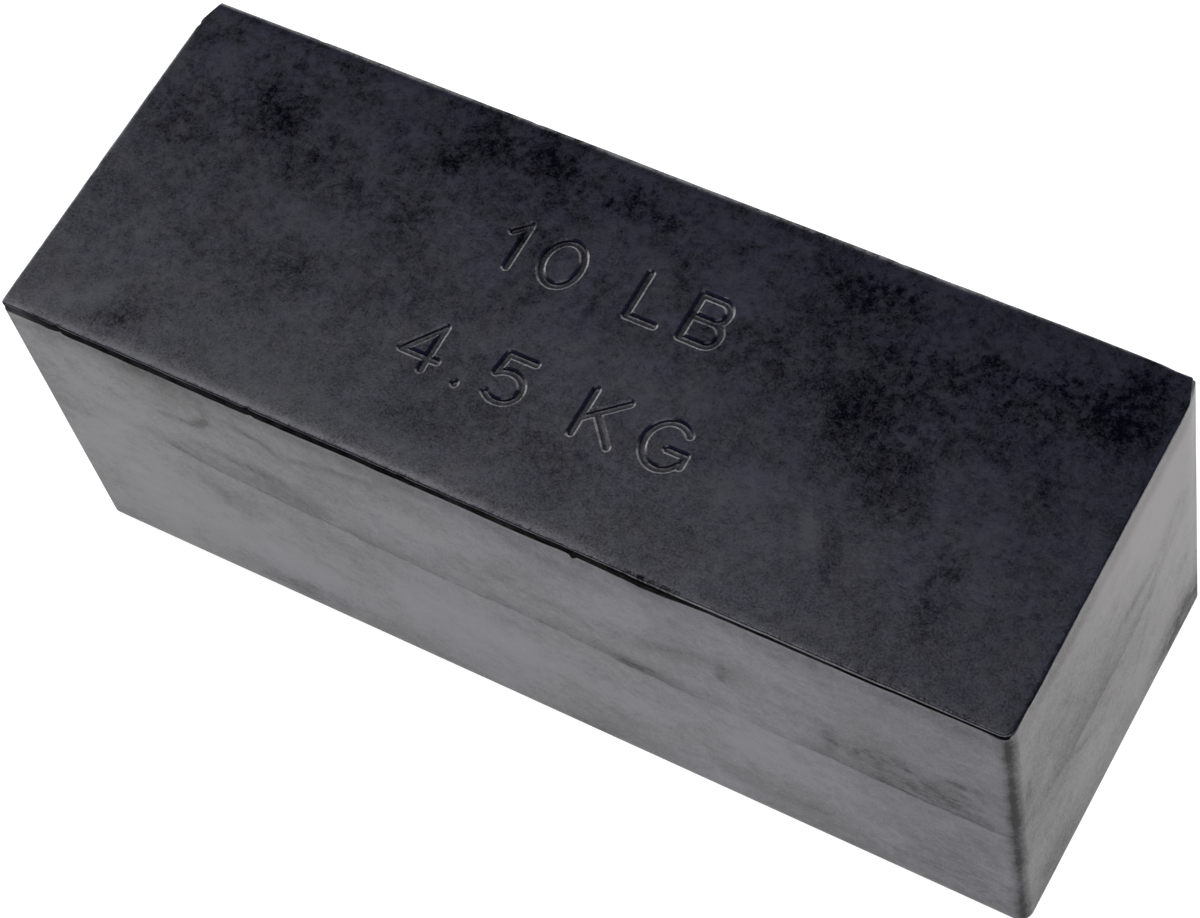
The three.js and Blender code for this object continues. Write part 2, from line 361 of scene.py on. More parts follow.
@dataclass(frozen=True)
class MouldedRubber(Finish):
    """The greyer sides: a bloom, the knit line and the flow above it, painted shade under the rim and a
    darkening towards the foot. Their colour, far paler than the top face's, is partly the bloom and partly
    painted light.

    A field that ends in shade says how much lighter or darker something makes a side. One that ends in
    at_ends gives a value on the long sides and the value on the brick's two ends.
    """

    name: str = "moulded_rubber"
    dark: Colour = gray(0.012)
    # Partly the bloom and partly painted light: these colours are far paler than the top face's.
    light_left: Colour = gray(0.0915, 1.005, 1.08)
    light_right: Colour = gray(0.0905, 1.02, 1.22)
    light_ends: Colour = gray(0.087, 1.07, 1.01)
    seed: float = 11.7
    draw: float = 1.9
    crack_draw: float = 2.0
    streaks: Cloud = Cloud(0, 3.6 * MM, 4, 0.6, 0.6)
    mottle: Cloud = Cloud(1, 2.4 * MM, 3, 0.6, 0.8)
    clouds: Cloud = Cloud(2, 26 * MM, 3, 0.55, 0.5)
    smoke: Cloud = Cloud(3, 7 * MM, 4, 0.55, 0.7)
    grain: Cloud = Cloud(4, 0.5 * MM, 2, 0.7)
    wander: Cloud = Cloud(5, 5 * MM, 3, 0.6)
    cracks: Cloud = Cloud(6, 5.5 * MM, 3, 0.6, 0.4)
    end_facing: Span = Span(0.6, 0.8, soft=True)
    wander_height: Span = Span(0.2, 0.8, -0.9 * MM, 0.9 * MM)
    line_width: float = 0.9 * MM
    line_share: float = 0.32
    flow_height: float = 6.0 * MM
    flow_share: float = 0.5
    flow_raggedness: Span = Span(0.35, 0.65, 0.25, 1.0)
    smoke_in_stain_and_painted_light: Span = Span(0.3, 0.7, 0.35, 1.05)
    vein: Span = Span(0.0, 0.035, 0.5, 0.0, soft=True)
    vein_from_stain_and_painted_light: Span = Span(0.25, 0.55)
    smoke_in_painted_edge_shade: Span = Span(0.3, 0.7, 0.65, 1.1)
    smoke_in_foot: Span = Span(0.35, 0.65, 0.4, 1.4)
    level_at_ends: Span = Span(0.0, 1.0, 0.92, 0.9)
    upper_shade: Span = Span(0.0, 1.5 * MM, 0.0, -0.07, soft=True)
    foot_shade: Span = Span(13 * MM, 1 * MM, 0.0, -0.16)
    # Painted shade under the rim, weaker on the brick's two ends.
    painted_rim_shade: Span = Span(72 * MM, 89 * MM, 0.0, -0.2)
    painted_rim_shade_at_ends: Span = Span(0.0, 1.0, 1.0, 0.3)
    cloud_shade: Span = Span(0.3, 0.7, -0.18, 0.18)
    smoke_shade: Span = Span(0.3, 0.7, -0.1, 0.1)
    thick_smoke_shade: Span = Span(0.5, 0.75, 0.0, -0.14)
    streak_shade: Span = Span(0.3, 0.7, -0.08, 0.08)
    streaks_at_ends: Span = Span(0.0, 1.0, 1.0, 0.5)
    mottle_shade: Span = Span(0.3, 0.7, -0.13, 0.13)
    grain_shade: Span = Span(0.2, 0.8, -0.24, 0.24)
    grain_at_ends: Span = Span(0.0, 1.0, 1.0, 1.9)
    # The patches hold stains, and in places painted light and shade.
    stain_and_painted_light_shade: float = -0.75
    # Painted shade along the rounded upright edges.
    painted_edge_darkness: float = -0.97
    tint_to_right: Span = Span(-90 * MM, 90 * MM)
    tint_clouds: Span = Span(0.35, 0.65, -0.5, 0.5)
    level: Span = Span(0.0, 1.5)
    specular: Span = Span(0.0, 1.0, 0.1, 0.47)
    roughness: Span = Span(0.0, 1.0, 0.55, 0.42)
    grain_relief: float = 0.4
    line_relief: float = -0.5
    bump_strength: float = 0.3
    bump_depth: float = 0.06 * MM

    def knit(self, wiring: SurfaceWiring, height: Socket, streaks: Socket) -> tuple[Socket, Socket]:
        """Wires the knit line and the ragged flow above it.

        Args:
            wiring: The material's wiring.
            height: How high above the line a place lies.
            streaks: The noise that makes the flow ragged.

        Returns:
            The line alone, and how dark line and flow are together.
        """
        line = wiring.minus(1.0, wiring.math("DIVIDE", wiring.size_of(height), self.line_width), clamp=True)
        rise = wiring.math("DIVIDE", height, self.flow_height)
        flow = wiring.times(wiring.math("GREATER_THAN", rise, 0.0), wiring.minus(1.0, rise, clamp=True))
        ragged = wiring.times(flow, wiring.span(streaks, self.flow_raggedness))
        both = wiring.total(wiring.times(line, self.line_share), wiring.times(ragged, self.flow_share))
        return line, wiring.times(wiring.attribute("knit_force"), both)

    def wire(self, wiring: SurfaceWiring) -> dict[str, Any]:
        """Mixes streaks, clouds, the knit line, the listed smears and painted shade into colour, gloss and
        bump.
        """
        place = wiring.place()
        across, _, _ = wiring.axes(wiring.node("ShaderNodeNewGeometry").outputs["Normal"])
        ends = wiring.span(wiring.size_of(across), self.end_facing)
        drawn = wiring.blend(ends, wiring.drawn(place, (1 / self.draw, 1.0, 1.0)),
                             wiring.drawn(place, (1.0, 1 / self.draw, 1.0)), "VECTOR")
        longer = wiring.drawn(drawn, (1 / self.crack_draw, 1 / self.crack_draw, 1.0))
        right, _, lift = wiring.axes(place)
        streaks, = wiring.noises(drawn, self.seed, self.streaks)
        cracks, = wiring.noises(longer, self.seed, self.cracks)
        mottle, clouds, smoke, grain, wander = wiring.noises(
            place, self.seed, self.mottle, self.clouds, self.smoke, self.grain, self.wander)
        height = wiring.total(wiring.attribute("above_knit"), wiring.span(wander, self.wander_height))
        line, knit = self.knit(wiring, height, streaks)
        stain = wiring.attribute("stain")
        ridge = wiring.size_of(wiring.minus(cracks, 0.5))
        vein = wiring.times(wiring.span(ridge, self.vein), wiring.span(stain, self.vein_from_stain_and_painted_light))
        smear = wiring.times(stain, wiring.total(wiring.span(smoke, self.smoke_in_stain_and_painted_light), vein))
        # Painted shade along the rounded upright edges, broken up by smoke.
        worn = wiring.times(wiring.attribute("worn"), wiring.span(smoke, self.smoke_in_painted_edge_shade))
        level = wiring.total(
            wiring.span(ends, self.level_at_ends),
            wiring.span(height, self.upper_shade),
            wiring.times(wiring.span(lift, self.foot_shade), wiring.span(smoke, self.smoke_in_foot)),
            # Painted shade under the rim.
            wiring.times(wiring.span(lift, self.painted_rim_shade), wiring.span(ends, self.painted_rim_shade_at_ends)),
            wiring.span(clouds, self.cloud_shade),
            wiring.span(smoke, self.smoke_shade),
            wiring.span(smoke, self.thick_smoke_shade),
            wiring.times(wiring.span(streaks, self.streak_shade), wiring.span(ends, self.streaks_at_ends)),
            wiring.span(mottle, self.mottle_shade),
            wiring.times(wiring.span(grain, self.grain_shade), wiring.span(ends, self.grain_at_ends)),
            wiring.times(smear, self.stain_and_painted_light_shade),
            wiring.times(knit, -1.0),
            wiring.times(worn, self.painted_edge_darkness),
        )
        rightward, clouded = wiring.span(right, self.tint_to_right), wiring.span(clouds, self.tint_clouds)
        along = wiring.math("ADD", rightward, clouded, clamp=True)
        light = wiring.blend(ends, wiring.blend(along, self.light_left, self.light_right), self.light_ends)
        furrow = wiring.times(line, self.line_relief)
        relief = wiring.total(wiring.times(grain, self.grain_relief), mottle, furrow)
        return {
            "Base Color": wiring.blend(wiring.span(level, self.level), self.dark, light),
            "Specular IOR Level": wiring.span(level, self.specular),
            "Roughness": wiring.span(level, self.roughness),
            "Normal": wiring.bump(self.bump_strength, self.bump_depth, relief),
        }


@dataclass(frozen=True)
class TrimmedRubber(Finish):
    """Cut rubber, matt and nearly black, dragged along by the knife."""

    name: str = "trimmed_rubber"
    dark: Colour = gray(0.002)
    light: Colour = gray(0.034, 1.0, 1.1)
    specular: float = 0.0
    seed: float = 23.0
    drag: Cloud = Cloud(0, 4 * MM, 3, 0.6, 0.4)
    grain: Cloud = Cloud(1, 0.5 * MM, 2, 0.6)
    grain_share: float = 0.3
    level: Span = Span(0.5, 1.7)
    roughness: Span = Span(0.2, 0.8, 0.75, 0.9)
    bump_strength: float = 0.4
    bump_depth: float = 0.08 * MM

    def wire(self, wiring: SurfaceWiring) -> dict[str, Any]:
        """Mixes a dark colour that varies along the cut."""
        drag, grain = wiring.noises(wiring.place(), self.seed, self.drag, self.grain)
        pale = wiring.times(wiring.attribute("stain"), -1.0)
        share = wiring.span(wiring.total(drag, wiring.times(grain, self.grain_share), pale), self.level)
        return {
            "Base Color": wiring.blend(share, self.dark, self.light),
            "Specular IOR Level": self.specular,
            "Roughness": wiring.span(grain, self.roughness),
            "Normal": wiring.bump(self.bump_strength, self.bump_depth, drag),
        }


@dataclass(frozen=True)
class HiddenRubber(Finish):
    """The inside of the jackets: even black rubber that carries a print of the bar's scale."""

    name: str = "hidden_rubber"
    dark: Colour = gray(0.008)
    light: Colour = gray(0.02, 1.05, 0.95)
    seed: float = 31.0
    scale_print: Cloud = Cloud(0, 6 * MM, 5, 0.65, 0.3)
    level: Span = Span(0.35, 0.7)
    roughness: Span = Span(0.3, 0.7, 0.6, 0.75)
    bump_strength: float = 0.5
    bump_depth: float = 0.1 * MM

    def wire(self, wiring: SurfaceWiring) -> dict[str, Any]:
        """Mixes a mottled colour and a shallow print."""
        scale_print, = wiring.noises(wiring.place(), self.seed, self.scale_print)
        return {
            "Base Color": wiring.blend(wiring.span(scale_print, self.level), self.dark, self.light),
            "Roughness": wiring.span(scale_print, self.roughness),
            "Normal": wiring.bump(self.bump_strength, self.bump_depth, scale_print),
        }


@dataclass(frozen=True)
class MillScaleSteel(Finish):
    """Hot-rolled bar as it left the mill: blue-grey scale, rusty where it flaked."""

    name: str = "mill_scale_steel"
    scale: Colour = gray(0.09, 0.95, 1.15)
    worn: Colour = gray(0.3, 1.02, 0.98)
    rust: Colour = (0.11, 0.045, 0.02, 1.0)
    seed: float = 41.0
    draw: float = 5.0
    streaks: Cloud = Cloud(0, 2 * MM, 4, 0.6)
    flakes: Cloud = Cloud(1, 14 * MM, 5, 0.65, 0.4)
    pits: Cloud = Cloud(2, 1.2 * MM, 3, 0.6)
    wear: Span = Span(0.45, 0.75)
    rusting: Span = Span(0.56, 0.66)
    metal: Span = Span(0.0, 1.0, 0.9, 0.1)
    roughness: Span = Span(0.3, 0.7, 0.5, 0.34)
    rust_roughness: float = 0.35
    pit_relief: float = 0.6
    bump_strength: float = 0.5
    bump_depth: float = 0.12 * MM

    def wire(self, wiring: SurfaceWiring) -> dict[str, Any]:
        """Mixes scale, worn streaks along the bar and rust where the scale has flaked."""
        place = wiring.place()
        streaks, = wiring.noises(wiring.drawn(place, (1 / self.draw, 1.0, 1.0)), self.seed, self.streaks)
        flakes, pits = wiring.noises(place, self.seed, self.flakes, self.pits)
        rusty = wiring.span(flakes, self.rusting)
        relief = wiring.total(wiring.times(pits, self.pit_relief), flakes)
        bare = wiring.blend(wiring.span(streaks, self.wear), self.scale, self.worn)
        rough = wiring.times(rusty, self.rust_roughness)
        return {
            "Base Color": wiring.blend(rusty, bare, self.rust),
            "Metallic": wiring.span(rusty, self.metal),
            "Roughness": wiring.total(wiring.span(streaks, self.roughness), rough),
            "Normal": wiring.bump(self.bump_strength, self.bump_depth, relief),
        }


@dataclass(frozen=True)
class PaleFloor(Finish):
    """The studio's plain white floor, faintly lit from below."""

    name: str = "pale_floor"
    colour: Colour = gray(0.42)
    glow_colour: Colour = gray(1.0)
    glow: float = 0.8
    roughness: float = 0.9
    specular: float = 0.1

    def wire(self, wiring: SurfaceWiring) -> dict[str, Any]:
        """Sets an even matt white and its glow."""
        return {
            "Base Color": self.colour, "Emission Color": self.glow_colour, "Emission Strength": self.glow,
            "Roughness": self.roughness, "Specular IOR Level": self.specular,
        }


class ShapeTree(Wiring):
    """A Geometry Nodes tree with named inputs, which changes or makes a piece's mesh."""

    SOCKETS = {float: "NodeSocketFloat", int: "NodeSocketInt", bpy.types.Object: "NodeSocketObject",
               bpy.types.Material: "NodeSocketMaterial"}

    def __init__(self, name: str) -> None:
        """Starts the tree and gives it its geometry sockets."""
        super().__init__(bpy.data.node_groups.new(name, "GeometryNodeTree"))
        for way in ("INPUT", "OUTPUT"):
            self.tree.interface.new_socket(name="Geometry", in_out=way, socket_type="NodeSocketGeometry")
        self.entry = self.tree.nodes.new("NodeGroupInput")
        self.shape = self.entry.outputs[0]
        self.place = self.node("GeometryNodeInputPosition").outputs[0]

    def give(self, kind: type, *names: str) -> list[Socket]:
        """Adds named inputs of one kind and returns the sockets that carry them inside the tree."""
        for name in names:
            self.tree.interface.new_socket(name=name, in_out="INPUT", socket_type=self.SOCKETS[kind])
        return [self.entry.outputs[name] for name in names]

    def attribute(self, name: str, kind: str) -> Socket:
        """Reads a piece's own number or vector."""
        return self.node("GeometryNodeInputNamedAttribute", {"Name": name}, data_type=kind).outputs[0]

    def unevenness(self, size: Any, amount: Any, seed: Any, middle: float = 0.5) -> Socket:
        """Returns noise of a size and an amount, about zero, or below it where the middle is higher."""
        inputs = {"Vector": self.place, "W": seed, "Scale": self.math("DIVIDE", 1.0, size)}
        cloud = self.node("ShaderNodeTexNoise", inputs, noise_dimensions="4D").outputs[0]
        return self.times(self.minus(cloud, middle), amount)

    def moved(self, shape: Socket, offset: Socket) -> Socket:
        """Moves a shape's points and makes its instances real."""
        made = self.node("GeometryNodeSetPosition", {"Geometry": shape, "Offset": offset}).outputs[0]
        return self.node("GeometryNodeRealizeInstances", {0: made}).outputs[0]

    def chosen(self, kind: str, operation: str, inputs: dict[int, Any]) -> Socket:
        """Compares the node's two inputs for values of one kind."""
        return self.node("FunctionNodeCompare", inputs, data_type=kind, operation=operation).outputs[0]

    def finished(self, shape: Socket, finish: str, where: Any = True) -> Socket:
        """Gives a shape the material of a named input, where it is chosen."""
        material, = self.give(bpy.types.Material, finish)
        inputs = {"Geometry": shape, "Selection": where, "Material": material}
        return self.node("GeometryNodeSetMaterial", inputs).outputs[0]

    def apply(self, piece: bpy.types.Object, values: dict[str, Any]) -> None:
        """Runs the tree on a piece and keeps the result as its plain mesh.

        Args:
            piece: The piece whose mesh the tree changes or makes.
            values: The tree's inputs, by name.
        """
        modifier = piece.modifiers.new(self.tree.name, "NODES")
        modifier.node_group = self.tree
        for item in self.tree.interface.items_tree:
            if item.in_out == "INPUT" and item.name in values:
                modifier[item.identifier] = values[item.name]
        graph = bpy.context.evaluated_depsgraph_get()
        result = piece.evaluated_get(graph)
        made = bpy.data.meshes.new_from_object(result, preserve_all_data_layers=True, depsgraph=graph)
        piece.modifiers.clear()
        old = piece.data
        piece.data = made
        bpy.data.meshes.remove(old)
        made.name = piece.name


def skin_tree() -> ShapeTree:
    """Builds the tree that makes moulded faces slightly uneven and gives each zone its material.

    Returns:
        A tree with the inputs Wave Height, Wave Length, Ripple Height, Ripple Length, Seed and one material
        for each zone.
    """
    tree = ShapeTree("uneven_skin")
    height, length, ripple, pitch, seed = tree.give(
        float, "Wave Height", "Wave Length", "Ripple Height", "Ripple Length", "Seed")
    waves = tree.unevenness(length, height, tree.total(seed, 0.0))
    ripples = tree.unevenness(pitch, ripple, tree.total(seed, 1.0))
    outward = tree.attribute("outward", "FLOAT_VECTOR")
    shape = tree.moved(tree.shape, tree.scaled(outward, tree.total(waves, ripples)))
    zone = tree.attribute("zone", "INT")
    for kind in Zone:
        where = tree.chosen("INT", "EQUAL", {2: zone, 3: kind.value})
        shape = tree.finished(shape, kind.name.title(), where)
    tree.node("NodeGroupOutput", {0: shape})
    return tree


def press_tree(profile: Sequence[tuple[float, float]]) -> ShapeTree:
    """Builds the tree that presses the weight marks along their middle lines.

    Args:
        profile: The groove's section: depth shares over shares of its reach from the middle line.

    Returns:
        A tree with the inputs Strokes, Face Height, Reach, Depth, Wander, Wander Length, Seed and Finish.
    """
    tree = ShapeTree("pressed_marks")
    strokes, = tree.give(bpy.types.Object, "Strokes")
    level, reach, depth, wander, pitch, seed = tree.give(
        float, "Face Height", "Reach", "Depth", "Wander", "Wander Length", "Seed")
    right, back, _ = tree.axes(tree.place)
    lines = tree.node("GeometryNodeObjectInfo", {"Object": strokes}).outputs["Geometry"]
    inputs = {0: lines, "Sample Position": tree.vector(right, back, level)}
    near = tree.node("GeometryNodeProximity", inputs, target_element="EDGES").outputs["Distance"]
    drift = tree.unevenness(pitch, wander, seed)
    section = tree.curve(tree.math("DIVIDE", tree.total(near, drift), reach, clamp=True), profile)
    drop = tree.times(tree.times(section, tree.attribute("face_share", "FLOAT")), depth)
    shape = tree.moved(tree.shape, tree.vector(z=tree.times(drop, -1.0)))
    where = tree.chosen("FLOAT", "GREATER_THAN", {0: drop, 1: 0.0})
    tree.node("NodeGroupOutput", {0: tree.finished(shape, "Finish", where)})
    return tree


def bar_tree() -> ShapeTree:
    """Builds the tree that rolls a square bar: a section with rolled edges drawn along a line.

    Returns:
        A tree with the inputs Length, Side, Edge Radius, Edge Steps, Rings, Centre Height, Pit Depth,
        Pit Size, Seed and Finish.
    """
    tree = ShapeTree("rolled_bar")
    length, side, radius, level, depth, size, seed = tree.give(
        float, "Length", "Side", "Edge Radius", "Centre Height", "Pit Depth", "Pit Size", "Seed")
    steps, rings = tree.give(int, "Edge Steps", "Rings")
    half = tree.times(length, 0.5)
    ends = {"Start": tree.vector(tree.times(half, -1.0), z=level), "End": tree.vector(half, z=level)}
    line = tree.node("GeometryNodeCurvePrimitiveLine", ends).outputs[0]
    path = tree.node("GeometryNodeResampleCurve", {"Curve": line, "Count": rings}).outputs[0]
    square = tree.node("GeometryNodeCurvePrimitiveQuadrilateral", {"Width": side, "Height": side}).outputs[0]
    inputs = {"Curve": square, "Radius": radius, "Count": steps}
    section = tree.node("GeometryNodeFilletCurve", inputs, mode="POLY").outputs[0]
    inputs = {"Curve": path, "Profile Curve": section, "Fill Caps": True}
    bar = tree.node("GeometryNodeCurveToMesh", inputs).outputs[0]
    inward = tree.scaled(tree.node("GeometryNodeInputNormal").outputs[0],
                         tree.unevenness(size, depth, seed, middle=1.0))
    tree.node("NodeGroupOutput", {0: tree.finished(tree.moved(bar, inward), "Finish")})
    return tree


@dataclass(frozen=True)
class Bowl:
    """A round stroke: centre and radii as shares of a mark's box, and the quarter turns it runs between."""

    across: float
    up: float
    radius_across: float
    radius_up: float
    start: float
    end: float

    def points(self, steps_per_quarter: int) -> np.ndarray:
        """Returns the bowl's points as shares of the mark's box."""
        count = math.ceil(abs(self.end - self.start) * steps_per_quarter)
        turn = np.linspace(self.start, self.end, count + 1) * math.pi / 2
        across = self.across + self.radius_across * np.cos(turn)
        return np.stack([across, self.up + self.radius_up * np.sin(turn)], 1)


@dataclass(frozen=True)
class Line:
    """A straight stroke between two points, as shares of a mark's box."""

    start: tuple[float, float]
    end: tuple[float, float]

    def points(self, steps_per_quarter: int) -> np.ndarray:
        """Returns the stroke's two ends as shares of the mark's box."""
        return np.array([self.start, self.end], float)


@dataclass(frozen=True)
class Mark:
    """One pressed figure or letter: its width as a share of its height, and its strokes."""

    width_share: float
    strokes: tuple[Line | Bowl, ...]


MARKS = {
    "1": Mark(0.42, (Line((0, 0.76), (0.9, 1)), Line((0.9, 1), (0.9, 0)))),
    "0": Mark(0.82, (Bowl(0.5, 0.5, 0.5, 0.5, 0, 4),)),
    "4": Mark(0.82, (Line((0.74, 0), (0.74, 1)), Line((0.74, 1), (0, 0.27)), Line((0, 0.27), (1, 0.27)))),
    "5": Mark(0.76, (
        Line((0.94, 1), (0.14, 1)),
        Line((0.14, 1), (0.07, 0.55)),
        Bowl(0.46, 0.33, 0.52, 0.33, 1.5, -1.5),
    )),
    "L": Mark(0.66, (Line((0, 1), (0, 0)), Line((0, 0), (1, 0)))),
    "B": Mark(0.76, (
        Line((0, 0), (0, 1)),
        Line((0, 1), (0.6, 1)),
        Bowl(0.6, 0.76, 0.32, 0.24, 1, -1),
        Line((0, 0.52), (0.66, 0.52)),
        Bowl(0.66, 0.26, 0.34, 0.26, 1, -1),
        Line((0, 0), (0.66, 0)),
    )),
    "K": Mark(0.8, (Line((0, 0), (0, 1)), Line((0, 0.36), (0.95, 1)), Line((0.32, 0.58), (1, 0)))),
    "G": Mark(0.9, (
        Bowl(0.5, 0.5, 0.5, 0.5, 0.5, 3.65),
        Line((0.56, 0.44), (1, 0.44)),
        Line((1, 0.44), (1, 0.2)),
    )),
    ".": Mark(0.16, (Line((0, 0), (0, 0.02)),)),
    " ": Mark(0.3, ()),
}


@dataclass
class WeightMarks:
    """The weight pressed into the top face, in two rows.

    Attributes:
        rows: What the rows say.
        row_shares: Where they lie, as shares of their pitch.
        height: How high the figures and letters are.
        gap: How far apart they stand.
        pitch: How far apart the rows lie.
        reach: How far from their middle lines the press may move the face.
        wander: How unsteady their edges are.
        wander_length: Over what length.
        seed: Which unsteadiness it is.
        step: How far apart the net's points lie along the grooves.
        slack: How near another stroke a walk's points may come past their own distance.
        section_mm: Distances from the middle line, and what share of the depth the groove has there.
    """

    rows: tuple[str, str] = ("10 LB", "4.5 KG")
    row_shares: tuple[float, float] = (0.5, -0.5)
    height: float = 12.6 * MM
    gap: float = 3.8 * MM
    pitch: float = 28.1 * MM
    groove_width: float = 2.0 * MM
    groove_depth: float = 0.8 * MM
    reach: float = 2.0 * MM
    wander: float = 0.04 * MM
    wander_length: float = 3 * MM
    seed: float = 9.0
    step: float = 0.32 * MM
    least_steps: int = 8
    steps_per_quarter: int = 24
    cap_steps: int = 25
    slack: float = 0.02 * MM
    section_mm: tuple[tuple[float, float], ...] = (
        (0.0, 1.0), (0.25, 0.998), (0.42, 0.985), (0.54, 0.96), (0.64, 0.284), (0.72, 0.233), (0.8, 0.182),
        (0.88, 0.131), (0.96, 0.08), (1.04, 0.029), (1.085, 0.0), (1.4, 0.0), (2.0, 0.0),
    )

    def profile(self) -> list[tuple[float, float]]:
        """Returns the groove's section as depth shares over shares of its reach."""
        return [(place * MM / self.reach, depth) for place, depth in self.section_mm]

    def lines(self) -> list[np.ndarray]:
        """Lays out both rows, centred on the brick's length.

        Returns:
            The middle line of each stroke, as points along it.
        """
        made = []
        for text, row in zip(self.rows, self.row_shares):
            widths = [MARKS[letter].width_share * self.height for letter in text]
            left = -(sum(widths) + self.gap * (len(text) - 1)) / 2
            low = row * self.pitch - self.height / 2
            for letter, width in zip(text, widths):
                box = np.array([width, self.height]) - self.groove_width
                start = np.array([left, low]) + self.groove_width / 2
                for stroke in MARKS[letter].strokes:
                    made.append(start + stroke.points(self.steps_per_quarter) * box)
                left += width + self.gap
        return made

    def distance(self, points: np.ndarray) -> np.ndarray:
        """Measures how far points on the face lie from the nearest middle line."""
        nearest = np.full(len(points), np.inf)
        for line in self.lines():
            for start, end in zip(line[:-1], line[1:]):
                along = end - start
                share = np.clip((points - start) @ along / (along @ along), 0, 1)
                gap = np.linalg.norm(points - start - share[:, None] * along, axis=1)
                nearest = np.minimum(nearest, gap)
        return nearest

    def stroke_object(self, level: float) -> bpy.types.Object:
        """Makes a wire of all the middle lines at the face's height."""
        corners, edges = [], []
        for line in self.lines():
            first = len(corners)
            corners += [(*point, level) for point in line]
            edges += [(first + i, first + i + 1) for i in range(len(line) - 1)]
        mesh = bpy.data.meshes.new("stroke_lines")
        mesh.from_pydata(corners, edges, [])
        return set_out("stroke_lines", mesh)

    def outline(self, line: np.ndarray, offset: float) -> np.ndarray:
        """Walks round a middle line at one distance, with round ends.

        Args:
            line: The middle line's points.
            offset: The distance.

        Returns:
            Evenly spaced points of the closed walk.
        """
        along = np.gradient(line, axis=0)
        heading = np.arctan2(along[:, 1], along[:, 0])
        quarter = math.pi / 2
        turn = np.linspace(-quarter, quarter, self.cap_steps)

        def side(centres: np.ndarray, angles: np.ndarray) -> np.ndarray:
            """Returns points at the offset from centres, at angles."""
            return centres + offset * np.stack([np.cos(angles), np.sin(angles)], 1)

        walk = np.concatenate([
            side(line, heading - quarter),
            side(np.repeat(line[-1:], len(turn), 0), heading[-1] + turn),
            side(line[::-1], heading[::-1] + quarter),
            side(np.repeat(line[:1], len(turn), 0), heading[0] + 2 * quarter + turn),
        ])
        walk = np.concatenate([walk, walk[:1]])
        lengths = np.concatenate([[0], np.cumsum(np.linalg.norm(np.diff(walk, axis=0), axis=1))])
        count = max(self.least_steps, round(lengths[-1] / self.step))
        places = np.linspace(0, lengths[-1], count, endpoint=False)
        return np.stack([np.interp(places, lengths, walk[:, k]) for k in (0, 1)], 1)

    def guides(self) -> tuple[np.ndarray, list[tuple[int, int]]]:
        """Lays points and edges along the grooves' sections, for the face's mesh to follow.

        Returns:
            The points, and the pairs of them that the mesh keeps as edges.
        """
        points: list[np.ndarray] = []
        edges: list[tuple[int, int]] = []
        count = 0
        for level, _ in self.section_mm[1:-1]:
            for line in self.lines():
                walk = self.outline(line, level * MM)
                kept = self.distance(walk) > level * MM - self.slack
                numbers = np.cumsum(kept) - 1 + count
                for i in range(len(walk)):
                    j = (i + 1) % len(walk)
                    if kept[i] and kept[j]:
                        edges.append((int(numbers[i]), int(numbers[j])))
                points.append(walk[kept])
                count += int(kept.sum())
        return np.concatenate(points), edges


@dataclass(frozen=True)
class Smear:
    """A soft dark patch, or a light one if its strength is below zero. Lengths in millimetres.

    On a side, along runs from its left end and below from the top edge. On the top face, they run from its
    left end and its back edge.
    """

    along: float
    below: float
    half_length: float
    half_height: float
    strength: float
    tilt: float = 0.0

    def shade(self, along: np.ndarray, below: np.ndarray) -> np.ndarray:
        """Returns the patch's strength at places given in metres."""
        turn = math.radians(self.tilt)
        right, down = along / MM - self.along, below / MM - self.below
        u = (right * math.cos(turn) + down * math.sin(turn)) / self.half_length
        v = (down * math.cos(turn) - right * math.sin(turn)) / self.half_height
        return self.strength * np.exp(-(u * u + v * v) ** 1.5)


def patches(*rows: tuple[float, ...]) -> tuple[Smear, ...]:
    """Makes soft patches of rows that each give a patch's values in the order of its fields."""
    return tuple(Smear(*row) for row in rows)


@dataclass(frozen=True)
class SideStory:
    """What the mould and the knife left on one side, and its soft patches. Places run from its left end, in
    millimetres.

    Attributes:
        rim: Where, and how far below the top the cut starts and ends.
        proud: Where, and how far the lip over the cut stands out of the walls.
        roll: Where, how far the face rolls down at the edge, and how far inside the edge the roll reaches.
        knit: Where, how high the line lies where the two charges met, and how plain it is.
        smears: The soft patches: stains, and in places painted light and shade.
    """

    rim: tuple[tuple[float, float, float], ...]
    proud: tuple[tuple[float, float], ...]
    roll: tuple[tuple[float, float, float], ...]
    knit: tuple[tuple[float, float, float], ...]
    smears: tuple[Smear, ...] = ()


